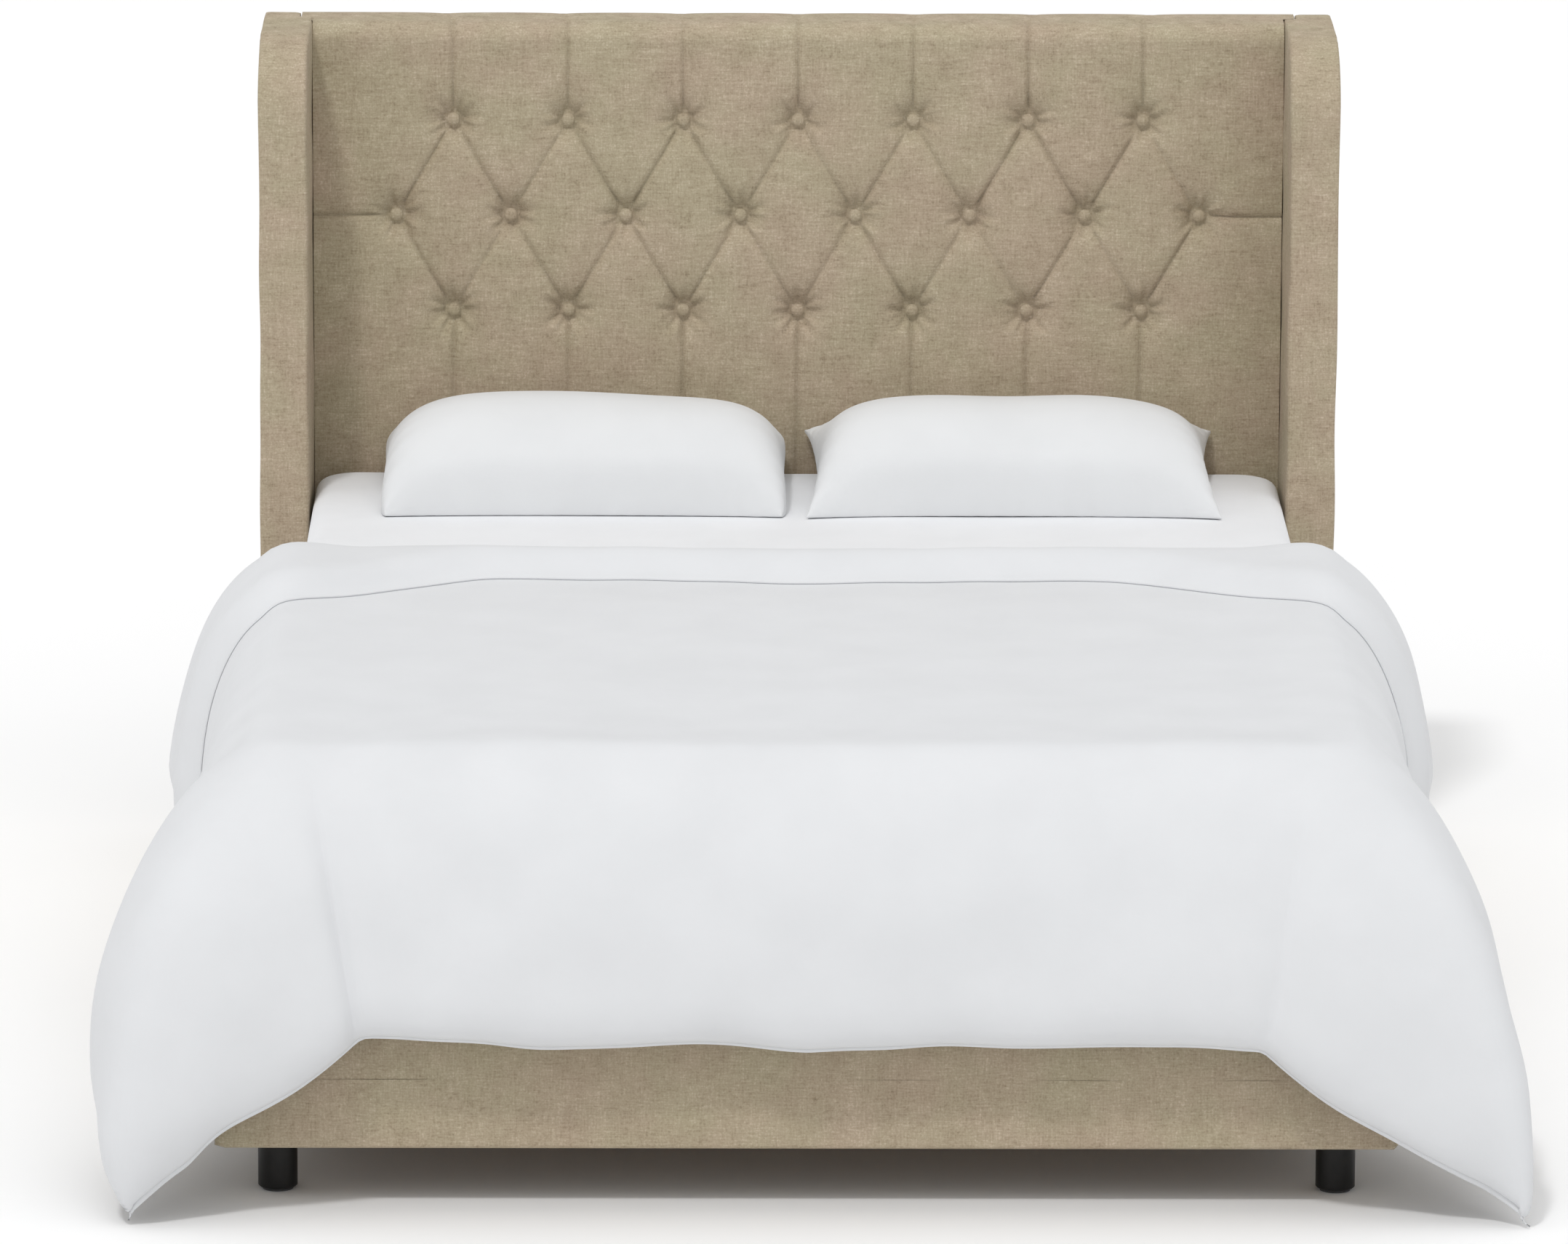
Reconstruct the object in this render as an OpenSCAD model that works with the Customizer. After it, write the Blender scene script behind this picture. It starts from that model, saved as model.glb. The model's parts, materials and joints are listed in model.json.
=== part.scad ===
// Upholstered wingback bed: tufted headboard, padded rails, slatted base, mattress and bedding.
// X is across the bed, -Y is the foot end, +Z is up and the feet stand on z = 0.

/* [Mattress] */
// Width of the mattress
mattress_w = 1500; // [1380:10:1540]
// Length of the mattress
mattress_l = 2030; // [1900:10:2130]
// Thickness of the mattress
mattress_h = 269; // [200:1:300]

/* [Headboard] */
// Height of the headboard above the floor
headboard_h = 1319; // [1150:1:1500]
// Thickness of the headboard from its padded face to its back cover
headboard_t = 110; // [105:1:130]
// How far the wings reach in front of the padded face
wing_depth = 200; // [120:5:300]
// Thickness of a wing across the bed
wing_t = 78; // [70:1:100]
// Distance between buttons along a row
tuft_pitch_x = 179; // [150:1:190]
// Distance between the rows of buttons
tuft_pitch_z = 151; // [120:1:170]
// Height of the middle row of buttons above the floor
tuft_mid_z = 1011; // [950:1:1050]
// Diameter of a covered button
button_d = 19; // [16:1:28]
// Depth of a button below the padded face
tuft_depth = 24; // [18:1:48]

/* [Base] */
// Height of the legs, which is also the height of the rails' lower edge
leg_h = 85; // [60:1:110]
// Diameter of a round leg
leg_d = 55; // [40:1:56]
// Height of a rail from its lower edge to its upper edge
rail_h = 270; // [260:1:285]
// Thickness of a rail with its padding
rail_t = 64; // [60:1:80]
// Number of slats under the mattress
slat_count = 14; // [10:1:16]
// Width of a slat
slat_w = 70; // [50:1:80]

/* [Bedding] */
// Thickness of the duvet
duvet_t = 36; // [25:1:45]
// Width of the folded-back strip at the duvet's head end
fold_w = 90; // [80:10:300]
// Distance from the headboard's padded face to the duvet's head end
duvet_head_gap = 862; // [600:1:1100]
// How far the duvet's foot corners stand out past the foot rail
tip_out = 119; // [80:1:140]
// Half of the distance between the duvet's outer corners
tip_x = 985; // [960:1:1000]
// Width of a pillow
pillow_w = 636; // [560:1:660]
// Depth of a pillow from front to back
pillow_l = 370; // [320:1:400]
// Height of a pillow
pillow_h = 165; // [120:1:190]

/* [Hidden] */
$fn = 48;

// Thickness of the linen cover and of the padding under it
skin = 2.5;
wrap_foam = 16;
// Clearance where two pieces lie side by side
gap = 0.5;
// Boards, plates and bolts
ply_t = 12;
board_t = 33;
dust_t = 3;
plate_t = 4;
bolt_d = 8;
bolt_hole_d = 8.4;
bolt_head_d = 18;
bolt_head_h = 5;
// How far the linen turns down behind the headboard
back_wrap = 28;
// Rim of linen left showing round the back cover
back_margin = 24;
// Extra length that makes a cut pass right through
cut = 1;
// Clearances round the mattress
side_gap = 4.5;
head_gap = 6;
foot_gap = 3;

// Places along the bed, worked out so that the whole bed is centred on the origin
sheet_t = 1.5;
bed_inner_l = mattress_l + head_gap + foot_gap;
// The foot rail has thinner padding than the side rails
foot_rail_t = rail_t - 8;
half_l = (headboard_t + bed_inner_l + foot_rail_t + tip_out) / 2;
back_y = half_l;
face_y = back_y - headboard_t;
foot_in_y = face_y - bed_inner_l;
foot_out_y = foot_in_y - foot_rail_t;
wing_front_y = face_y - wing_depth;
ply_y = back_y - dust_t - board_t - ply_t;

// Places across the bed
inner_x = mattress_w / 2 + sheet_t + side_gap;
wing_out_x = inner_x + wing_t;
rail_out_x = inner_x + rail_t;
core_in_x = inner_x + skin + wrap_foam;
core_out_x = wing_out_x - skin - wrap_foam;
post_w = 70;
headboard_rail_w = 70;

// Heights
rail_top_z = leg_h + rail_h;
slat_t = 18;
mattress_sunk = 17;
slat_top_z = rail_top_z - mattress_sunk;
cleat_h = 30;
cleat_z = slat_top_z - slat_t - cleat_h;
mattress_z = slat_top_z + gap;
mattress_top_z = mattress_z + mattress_h;
sheet_top_z = mattress_top_z + sheet_t;
// The padding starts just below the rails' upper edge, and stops just short of the wings' top
pad_lap = 5;
pad_z = rail_top_z - pad_lap;
wing_rise = 4;
pad_top_z = headboard_h - wing_rise;
panel_top_z = pad_top_z - 4;
mid_rail_z = 620;
bottom_rail_z = cleat_z - headboard_rail_w;
bottom_rail_h = 120;

// A box from one corner to the opposite corner
module block(low, high) {
    translate(low) cube(high - low);
}

// The same piece on the left side of the bed
module left_side() {
    mirror([1, 0, 0]) children();
}

// A bolt along +X with its head at the start
module bolt(length) {
    rotate([0, 90, 0]) cylinder(d = bolt_d, h = length);
    translate([-bolt_head_h, 0, 0]) rotate([0, 90, 0]) cylinder(d = bolt_head_d, h = bolt_head_h);
}

// A hole for a bolt along +X
module bolt_hole(length) {
    translate([-cut, 0, 0]) rotate([0, 90, 0]) cylinder(d = bolt_hole_d, h = length + cut);
}

// ---------------------------------------------------------------- headboard

// Places of the buttons: two rows of seven and a staggered middle row of eight
row_counts = [7, 8, 7];
tuft_places = [
    for (row = [0 : 2])
        for (i = [0 : row_counts[row] - 1])
            [(i - (row_counts[row] - 1) / 2) * tuft_pitch_x, tuft_mid_z + (1 - row) * tuft_pitch_z]
];

module at_tufts() {
    for (place = tuft_places)
        translate([place[0], face_y, place[1]])
            rotate([-90, 0, 0])
                children();
}

module headboard_post() {
    color("burlywood")
        difference() {
            block([core_in_x - gap - post_w, ply_y + ply_t, leg_h],
                  [core_in_x - gap, back_y - dust_t, panel_top_z]);
            at_wing_bolts() bolt_hole(wing_bolt_l);
        }
}

module headboard_rail(low_z, high_z) {
    half_w = core_in_x - 2 * gap - post_w;
    color("burlywood")
        block([-half_w, ply_y + ply_t, low_z], [half_w, back_y - dust_t, high_z]);
}

module headboard_top_rail() {
    headboard_rail(panel_top_z - headboard_rail_w, panel_top_z);
}

module headboard_bottom_rail() {
    headboard_rail(bottom_rail_z, bottom_rail_z + bottom_rail_h);
}

module headboard_panel() {
    color("wheat")
        difference() {
            block([-core_in_x + gap, ply_y, pad_z], [core_in_x - gap, ply_y + ply_t, panel_top_z]);
            at_tufts() cylinder(d = 6, h = headboard_t);
        }
}

// Cone that a button pulls into the padding
module tuft_pit(extra) {
    mouth_r = 38;
    translate([0, 0, -cut]) cylinder(r = mouth_r + extra, h = cut);
    cylinder(r1 = mouth_r + extra, r2 = button_d / 2 + 1.5 + extra, h = tuft_depth + extra);
}

module headboard_foam() {
    half_w = inner_x - gap;
    color("khaki")
        difference() {
            block([-half_w, face_y + skin, pad_z], [half_w, ply_y, pad_top_z - skin]);
            at_tufts() tuft_pit(skin);
            at_tufts() cylinder(d = 6, h = headboard_t);
        }
}

module headboard_cover() {
    half_w = inner_x - gap;
    color("tan")
        difference() {
            union() {
                block([-half_w, face_y, pad_z], [half_w, face_y + skin, pad_top_z]);
                block([-half_w, face_y, pad_top_z - skin], [half_w, back_y - dust_t, pad_top_z]);
                block([-core_in_x + gap, back_y - dust_t, pad_top_z - back_wrap + gap],
                    [core_in_x - gap, back_y - dust_t + skin, pad_top_z]);
                intersection() {
                    at_tufts() tuft_pit(skin);
                    block([-half_w, face_y, pad_z], [half_w, ply_y, pad_top_z]);
                }
            }
            at_tufts() tuft_pit(0);
            at_tufts() cylinder(d = 4, h = headboard_t - 20);
        }
}

module headboard_back_cover() {
    half_w = wing_out_x - back_margin;
    color("dimgray")
        block([-half_w, back_y - dust_t, leg_h], [half_w, back_y, pad_top_z - back_wrap]);
}

// Domed button with its back on the bottom of its pit
module tuft_buttons() {
    dome_r = 15;
    button_h = 10;
    color("tan")
        at_tufts()
            translate([0, 0, tuft_depth - button_h])
                intersection() {
                    cylinder(d = button_d, h = button_h);
                    translate([0, 0, dome_r]) sphere(r = dome_r);
                }
}

// Twine from each button to a washer behind the panel
module tuft_ties() {
    tie_end = ply_y + ply_t - face_y;
    color("ivory")
        at_tufts() {
            translate([0, 0, tuft_depth]) cylinder(d = 2.4, h = tie_end - tuft_depth);
            translate([0, 0, tie_end]) cylinder(d = 16, h = 2);
        }
}

// ---------------------------------------------------------------- wings

wing_corner_r = 120;
wing_bolt_l = 78;
wing_bolt_zs = [450, 800, 1180];

module at_wing_bolts() {
    for (z = wing_bolt_zs)
        translate([core_out_x - bolt_head_h, back_y - dust_t - board_t / 2, z])
            mirror([1, 0, 0])
                children();
}

// Side outline of a wing, drawn as (y, z), with a rounded top front corner
module wing_outline(inset) {
    r = wing_corner_r - inset;
    front = wing_front_y + inset;
    top = headboard_h - inset;
    difference() {
        translate([front, leg_h]) square([back_y - dust_t - gap - front, top - leg_h]);
        translate([front - cut, top - r]) square(r + cut);
    }
    intersection() {
        translate([front + r, top - r]) circle(r = r, $fn = 96);
        translate([front, top - r]) square(r + cut);
    }
}

// The outline as a slab between two distances from the middle of the bed
module wing_slab(inset, low_x, high_x) {
    translate([low_x, 0, 0])
        rotate([90, 0, 90])
            linear_extrude(high_x - low_x)
                wing_outline(inset);
}

module wing_core() {
    color("burlywood")
        difference() {
            wing_slab(skin + wrap_foam, core_in_x, core_out_x);
            at_wing_bolts() bolt_hole(wing_bolt_l);
            at_wing_bolts() translate([-bolt_head_h - cut, 0, 0]) rotate([0, 90, 0])
                cylinder(d = bolt_head_d + 1, h = bolt_head_h + cut);
            at_head_bracket_wing_bolts() bolt_hole(head_bolt_l);
            translate([head_leg_x, head_leg_y, leg_h - cut]) cylinder(d = bolt_hole_d, h = hanger_up + cut);
        }
}

// What stays clear behind the inner padding, where the headboard's frame meets the wing
module headboard_side_space() {
    block([inner_x - cut, ply_y, 0], [core_in_x, back_y + cut, headboard_h + cut]);
}

module wing_foam() {
    color("khaki")
        difference() {
            wing_slab(skin, inner_x + skin, wing_out_x - skin);
            wing_slab(skin + wrap_foam, core_in_x, core_out_x);
            block([core_in_x, ply_y, 0], [core_out_x, back_y, headboard_h - skin - wrap_foam]);
            headboard_side_space();
            at_head_bracket_wing_bolts() bolt_hole(head_bolt_l);
        }
}

module wing_cover() {
    color("tan")
        difference() {
            wing_slab(0, inner_x, wing_out_x);
            wing_slab(skin, inner_x + skin, wing_out_x - skin);
            headboard_side_space();
            at_head_bracket_wing_bolts() bolt_hole(head_bolt_l);
        }
}

module wing_bolts_one_side() {
    at_wing_bolts() bolt(wing_bolt_l - 4);
}

module wing_bolts() {
    color("silver") {
        wing_bolts_one_side();
        left_side() wing_bolts_one_side();
    }
}

// ---------------------------------------------------------------- rails

rail_board_t = 32;
rail_end_y = wing_front_y - gap;

module side_rail() {
    color("burlywood")
        difference() {
            block([inner_x, foot_in_y, leg_h + skin],
                  [inner_x + rail_board_t, rail_end_y, rail_top_z - skin]);
            at_head_bracket_rail_bolts() bolt_hole(head_bolt_l);
            at_corner_side_bolts() bolt_hole(corner_bolt_l);
        }
}

module side_rail_foam() {
    color("khaki")
        block([inner_x + rail_board_t, foot_in_y, leg_h + skin],
              [rail_out_x - skin, rail_end_y, rail_top_z - skin]);
}

module side_rail_cover() {
    color("tan")
        difference() {
            block([inner_x, foot_in_y, leg_h], [rail_out_x, rail_end_y, rail_top_z]);
            block([inner_x - cut, foot_in_y - cut, leg_h + skin],
                [rail_out_x - skin, rail_end_y + cut, rail_top_z - skin]);
        }
}

module foot_rail() {
    color("burlywood")
        difference() {
            block([-rail_out_x + skin, foot_in_y - rail_board_t, leg_h + skin],
                [rail_out_x - skin, foot_in_y, rail_top_z - skin]);
            both_sides() at_corner_foot_bolts() bolt_hole(corner_bolt_l);
        }
}

module foot_rail_foam() {
    color("khaki")
        block([-rail_out_x + skin, foot_out_y + skin, leg_h + skin],
            [rail_out_x - skin, foot_in_y - rail_board_t, rail_top_z - skin]);
}

module foot_rail_cover() {
    color("tan")
        difference() {
            block([-rail_out_x, foot_out_y, leg_h], [rail_out_x, foot_in_y, rail_top_z]);
            block([-rail_out_x + skin, foot_out_y + skin, leg_h + skin],
                [rail_out_x - skin, foot_in_y + cut, rail_top_z - skin]);
        }
}

module slat_cleat() {
    color("burlywood")
        block([inner_x - cleat_h, foot_in_y + gap, cleat_z], [inner_x, face_y - gap, cleat_z + cleat_h]);
}

module both_sides() {
    children();
    left_side() children();
}

// ---------------------------------------------------------------- brackets and bolts

bracket_up = 125;
bracket_z = leg_h + bracket_up;
bracket_h = 70;
bracket_mid_z = bracket_z + bracket_h / 2;
head_bolt_l = 34;
head_bracket_half_l = 120;
corner_bolt_l = 30;
corner_leg_l = 90;
// Distances of the bolts from a rail's end, and from the corner of the base
head_bolt_steps = [50, 100];
corner_bolt_steps = [30, 65];

// Bolts of a head bracket, in the rail and in the wing
module at_head_bracket_rail_bolts() {
    for (step = head_bolt_steps)
        translate([inner_x, rail_end_y - step, bracket_mid_z]) children();
}

module at_head_bracket_wing_bolts() {
    for (step = head_bolt_steps)
        translate([inner_x, rail_end_y + step, bracket_mid_z]) children();
}

module head_bracket() {
    color("silver")
        difference() {
            block([inner_x - plate_t, rail_end_y - head_bracket_half_l, bracket_z],
                [inner_x, rail_end_y + head_bracket_half_l, bracket_z + bracket_h]);
            translate([-plate_t, 0, 0]) at_head_bracket_rail_bolts() bolt_hole(head_bolt_l);
            translate([-plate_t, 0, 0]) at_head_bracket_wing_bolts() bolt_hole(head_bolt_l);
        }
}

module head_bracket_bolts() {
    color("dimgray")
        both_sides()
            translate([-plate_t, 0, 0]) {
                at_head_bracket_rail_bolts() bolt(head_bolt_l);
                at_head_bracket_wing_bolts() bolt(head_bolt_l);
            }
}

// Bolts of a corner bracket, in the side rail and in the foot rail
module at_corner_side_bolts() {
    for (step = corner_bolt_steps)
        translate([inner_x, foot_in_y + step, bracket_mid_z]) children();
}

module at_corner_foot_bolts() {
    for (step = corner_bolt_steps)
        translate([inner_x - step, foot_in_y, bracket_mid_z]) rotate([0, 0, -90]) children();
}

module corner_bracket() {
    color("silver")
        difference() {
            union() {
                block([inner_x - plate_t, foot_in_y, bracket_z],
                    [inner_x, foot_in_y + corner_leg_l, bracket_z + bracket_h]);
                block([inner_x - corner_leg_l, foot_in_y, bracket_z],
                    [inner_x, foot_in_y + plate_t, bracket_z + bracket_h]);
            }
            translate([-plate_t, 0, 0]) at_corner_side_bolts() bolt_hole(corner_bolt_l);
            translate([0, plate_t, 0]) at_corner_foot_bolts() bolt_hole(corner_bolt_l);
        }
}

module corner_bolts() {
    color("dimgray")
        both_sides() {
            translate([-plate_t, 0, 0]) at_corner_side_bolts() bolt(corner_bolt_l);
            translate([0, plate_t, 0]) at_corner_foot_bolts() bolt(corner_bolt_l);
        }
}

module corner_block() {
    block_w = 68;
    block_l = 110;
    below_bracket = 5;
    color("burlywood")
        difference() {
            block([inner_x - block_w, foot_in_y, leg_h],
                  [inner_x, foot_in_y + block_l, bracket_z - below_bracket]);
            translate([foot_leg_x, foot_leg_y, leg_h - cut]) cylinder(d = bolt_hole_d, h = hanger_up + cut);
        }
}

// ---------------------------------------------------------------- centre support and slats

beam_w = 40;
beam_h = 60;
beam_z = slat_top_z - slat_t - beam_h;
beam_end_y = ply_y + ply_t;
hanger_reach = 45;
glide_h = 12;
spigot_d = 10;
spigot_h = 30;
center_leg_w = 44;
// Distances of the centre legs from the foot rail
center_leg_steps = [490, 1020, 1550];
center_leg_ys = [for (step = center_leg_steps) foot_in_y + step];

module center_beam() {
    color("burlywood")
        block([-beam_w / 2, foot_in_y, beam_z], [beam_w / 2, beam_end_y, beam_z + beam_h]);
}

// Steel cradle under one end of the beam, with its flange on the rail behind it
module beam_hanger() {
    plate = 3;
    flange_w = 25;
    side_h = beam_h - 12;
    half_in = beam_w / 2;
    half_out = half_in + plate;
    color("silver")
        difference() {
            union() {
                block([-half_out, 0, beam_z - plate], [half_out, hanger_reach, beam_z + side_h]);
                block([-half_out - flange_w, 0, beam_z - plate],
                      [half_out + flange_w, plate, beam_z + side_h]);
            }
            block([-half_in, -cut, beam_z], [half_in, hanger_reach + cut, beam_z + beam_h]);
        }
}

module beam_hanger_foot() {
    translate([0, foot_in_y, 0]) beam_hanger();
}

module beam_hanger_head() {
    translate([0, beam_end_y, 0]) mirror([0, 1, 0]) beam_hanger();
}

module center_legs() {
    color("burlywood")
        for (y = center_leg_ys)
            difference() {
                block([-center_leg_w / 2, y - center_leg_w / 2, glide_h],
                    [center_leg_w / 2, y + center_leg_w / 2, beam_z]);
                translate([0, y, glide_h - cut]) cylinder(d = spigot_d + 0.4, h = spigot_h + 2 * cut);
            }
}

module center_leg_glides() {
    color("dimgray")
        for (y = center_leg_ys)
            translate([0, y, 0]) {
                cylinder(d = center_leg_w - 4, h = glide_h);
                translate([0, 0, glide_h]) cylinder(d = spigot_d, h = spigot_h);
            }
}

module slats() {
    end_gap = 2;
    foot_clear = 12;
    head_clear = 8;
    half_w = inner_x - end_gap;
    first_y = foot_in_y + foot_clear;
    last_y = face_y - slat_w - head_clear;
    color("burlywood")
        for (i = [0 : slat_count - 1])
            translate([-half_w, first_y + i * (last_y - first_y) / (slat_count - 1), slat_top_z - slat_t])
                cube([2 * half_w, slat_w, slat_t]);
}

// ---------------------------------------------------------------- legs

foot_leg_in = 108;
head_leg_in = 62;
foot_leg_x = 737;
foot_leg_y = foot_out_y + foot_leg_in;
head_leg_x = (core_in_x + core_out_x) / 2;
head_leg_y = back_y - head_leg_in;
leg_glide_h = 4;
hanger_up = 42;
hanger_down = 30;
leg_places = [
    [foot_leg_x, foot_leg_y], [-foot_leg_x, foot_leg_y],
    [head_leg_x, head_leg_y], [-head_leg_x, head_leg_y]
];

module leg(place) {
    edge = 2;
    color("#1a1816")
        translate([place[0], place[1], leg_glide_h])
            difference() {
                union() {
                    cylinder(d1 = leg_d - 2 * edge, d2 = leg_d, h = edge);
                    translate([0, 0, edge]) cylinder(d = leg_d, h = leg_h - leg_glide_h - edge);
                }
                translate([0, 0, leg_h - leg_glide_h - hanger_down])
                    cylinder(d = bolt_hole_d, h = hanger_down + cut);
            }
}

module leg_hanger_bolts() {
    color("silver")
        for (place = leg_places)
            translate([place[0], place[1], leg_h - hanger_down + gap])
                cylinder(d = bolt_d, h = hanger_down + hanger_up - 2 * gap);
}

module leg_glides() {
    glide_in = 6;
    color("dimgray")
        for (place = leg_places)
            translate([place[0], place[1], 0])
                cylinder(d = leg_d - 2 * glide_in, h = leg_glide_h);
}

// ---------------------------------------------------------------- bedding

// Box with rounded upright edges
module rounded_block(half_w, low_y, high_y, low_z, high_z, r) {
    block([-half_w + r, low_y, low_z], [half_w - r, high_y, high_z]);
    block([-half_w, low_y + r, low_z], [half_w, high_y - r, high_z]);
    for (x = [-half_w + r, half_w - r])
        for (y = [low_y + r, high_y - r])
            translate([x, y, low_z]) cylinder(r = r, h = high_z - low_z);
}

mattress_head_y = face_y - head_gap;
mattress_foot_y = mattress_head_y - mattress_l;
mattress_r = 45;
hem_up = 1;

module mattress() {
    color("gainsboro")
        rounded_block(mattress_w / 2, mattress_foot_y, mattress_head_y,
                      mattress_z, mattress_top_z, mattress_r);
}

module fitted_sheet() {
    color("whitesmoke")
        difference() {
            rounded_block(mattress_w / 2 + sheet_t, mattress_foot_y - sheet_t, mattress_head_y + sheet_t,
                mattress_z + hem_up, sheet_top_z, mattress_r + sheet_t);
            rounded_block(mattress_w / 2, mattress_foot_y, mattress_head_y,
                mattress_z - cut, mattress_top_z, mattress_r);
        }
}

// A hanging stretch is a little thinner than the duvet on top
panel_t = duvet_t - 6;

// One stretch of hanging duvet: the smallest solid around balls at its corners
module duvet_panel(corners) {
    hull()
        for (corner = corners)
            translate(corner) sphere(d = panel_t, $fn = 16);
}

duvet_low_z = sheet_top_z + gap;
duvet_head_y = face_y - duvet_head_gap;
edge_r = duvet_t / 2;
drape_z = duvet_low_z + edge_r;

// How far the flat top reaches past the mattress's space at the sides, and short of the foot rail's face
top_over_x = 20;
top_over_y = 5;
top_x = inner_x + top_over_x;
top_foot_y = foot_out_y + top_over_y;

// Hanging hem: how far inside the widest place it lies, how far along, and its height
head_hem_in = 50;
head_hem_z = 300;
mid_hem_in = 105;
mid_hem_step = 600;
mid_hem_z = 285;
side_hem_in = 20;
side_hem_step = 145;
side_hem_z = 150;
foot_hem_x = 600;
foot_hem_out = 52;
foot_hem_z = 262;
tip_z = 21;

tip = [tip_x - panel_t / 2, panel_t / 2 - half_l, tip_z];
head_top = [top_x, duvet_head_y - edge_r, drape_z];
head_hem = [tip_x - head_hem_in, duvet_head_y - edge_r, head_hem_z];
mid_top = [top_x, duvet_head_y - mid_hem_step, drape_z];
mid_hem = [tip_x - mid_hem_in, duvet_head_y - mid_hem_step, mid_hem_z];
foot_top = [top_x, top_foot_y, drape_z];
side_hem = [tip_x - side_hem_in, top_foot_y + side_hem_step, side_hem_z];
inner_foot_top = [foot_hem_x, top_foot_y, drape_z];
inner_foot_hem = [foot_hem_x, top_foot_y - foot_hem_out, foot_hem_z];
middle_foot_top = [0, top_foot_y, drape_z];
middle_foot_hem = [0, top_foot_y - foot_hem_out, foot_hem_z];

module duvet_half() {
    block([0, top_foot_y, duvet_low_z], [top_x, duvet_head_y, duvet_low_z + duvet_t]);
    block([0, duvet_head_y - fold_w, duvet_low_z + duvet_t],
          [top_x, duvet_head_y, duvet_low_z + 2 * duvet_t]);
    duvet_panel([head_top, head_hem, mid_top, mid_hem]);
    duvet_panel([mid_top, mid_hem, foot_top, side_hem]);
    duvet_panel([foot_top, side_hem, tip]);
    duvet_panel([foot_top, tip, inner_foot_hem, inner_foot_top]);
    duvet_panel([inner_foot_top, inner_foot_hem, middle_foot_top, middle_foot_hem]);
}

module duvet() {
    color("white") {
        duvet_half();
        left_side() duvet_half();
    }
}

pillow_gap = 24;
pillow_x = (pillow_w + pillow_gap) / 2;
pillow_y = face_y - head_gap - pillow_l / 2;

// Long rod, along X, whose section is a lens with its sharp edges at the front and the back
module lens_rod(half_w, half_h, length) {
    r = (half_w * half_w + half_h * half_h) / (2 * half_h);
    intersection_for(side = [-1, 1])
        translate([-length / 2, 0, side * (r - half_h)])
            rotate([0, 90, 0])
                cylinder(r = r, h = length, $fn = 96);
}

// Two crossed lenses, flattened on top and underneath
module pillow() {
    plump = 1.35;
    half_h = pillow_h / 2;
    color("white")
        translate([pillow_x, pillow_y, sheet_top_z + gap + half_h])
            intersection() {
                lens_rod(pillow_l / 2, half_h * plump, 2 * pillow_w);
                rotate([0, 0, 90]) lens_rod(pillow_w / 2, half_h * plump, 2 * pillow_w);
                block([-pillow_w, -pillow_w, -half_h], [pillow_w, pillow_w, half_h]);
            }
}

// ---------------------------------------------------------------- nodes

left_side() headboard_post();  // headboard_post_left
headboard_post();  // headboard_post_right
headboard_top_rail();
headboard_rail(mid_rail_z, mid_rail_z + headboard_rail_w);  // headboard_mid_rail
headboard_bottom_rail();
headboard_panel();
headboard_foam();
headboard_cover();
headboard_back_cover();
tuft_buttons();
tuft_ties();
left_side() wing_core();  // wing_core_left
wing_core();  // wing_core_right
left_side() wing_foam();  // wing_foam_left
wing_foam();  // wing_foam_right
left_side() wing_cover();  // wing_cover_left
wing_cover();  // wing_cover_right
wing_bolts();
left_side() side_rail();  // side_rail_left
side_rail();  // side_rail_right
left_side() side_rail_foam();  // side_rail_foam_left
side_rail_foam();  // side_rail_foam_right
left_side() side_rail_cover();  // side_rail_cover_left
side_rail_cover();  // side_rail_cover_right
left_side() slat_cleat();  // slat_cleat_left
slat_cleat();  // slat_cleat_right
left_side() head_bracket();  // head_bracket_left
head_bracket();  // head_bracket_right
head_bracket_bolts();
foot_rail();
foot_rail_foam();
foot_rail_cover();
left_side() corner_block();  // corner_block_left
corner_block();  // corner_block_right
left_side() corner_bracket();  // corner_bracket_left
corner_bracket();  // corner_bracket_right
corner_bolts();
center_beam();
beam_hanger_head();
beam_hanger_foot();
center_legs();
center_leg_glides();
slats();
leg(leg_places[1]);  // foot_leg_left
leg(leg_places[0]);  // foot_leg_right
leg(leg_places[3]);  // head_leg_left
leg(leg_places[2]);  // head_leg_right
leg_hanger_bolts();
leg_glides();
mattress();
fitted_sheet();
duvet();
left_side() pillow();  // pillow_left
pillow();  // pillow_right
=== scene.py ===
"""Upholstered wingback bed: looks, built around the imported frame. Metres, Z up, foot towards -Y."""

import json
import math

import bmesh
import bpy
import numpy as np
from mathutils import Matrix, Vector

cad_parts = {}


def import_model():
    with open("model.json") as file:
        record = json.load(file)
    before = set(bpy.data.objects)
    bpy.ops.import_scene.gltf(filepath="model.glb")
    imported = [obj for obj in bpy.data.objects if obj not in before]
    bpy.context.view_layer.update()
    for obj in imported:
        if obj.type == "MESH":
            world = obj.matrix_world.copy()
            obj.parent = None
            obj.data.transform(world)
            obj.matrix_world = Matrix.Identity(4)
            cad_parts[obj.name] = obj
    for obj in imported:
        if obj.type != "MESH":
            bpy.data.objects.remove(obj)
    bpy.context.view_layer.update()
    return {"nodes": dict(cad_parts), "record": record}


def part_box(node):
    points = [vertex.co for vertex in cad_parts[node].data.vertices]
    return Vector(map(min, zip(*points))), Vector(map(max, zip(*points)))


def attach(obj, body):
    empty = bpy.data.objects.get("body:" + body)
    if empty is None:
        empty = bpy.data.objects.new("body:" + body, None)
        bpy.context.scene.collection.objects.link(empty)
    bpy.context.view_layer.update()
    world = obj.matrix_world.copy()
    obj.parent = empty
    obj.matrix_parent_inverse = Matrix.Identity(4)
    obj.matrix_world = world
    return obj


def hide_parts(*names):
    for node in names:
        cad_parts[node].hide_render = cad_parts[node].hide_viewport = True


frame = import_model()

# ------------------------ places taken from the frame


def low(node):
    return np.array(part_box(node)[0])


def high(node):
    return np.array(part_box(node)[1])


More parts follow.
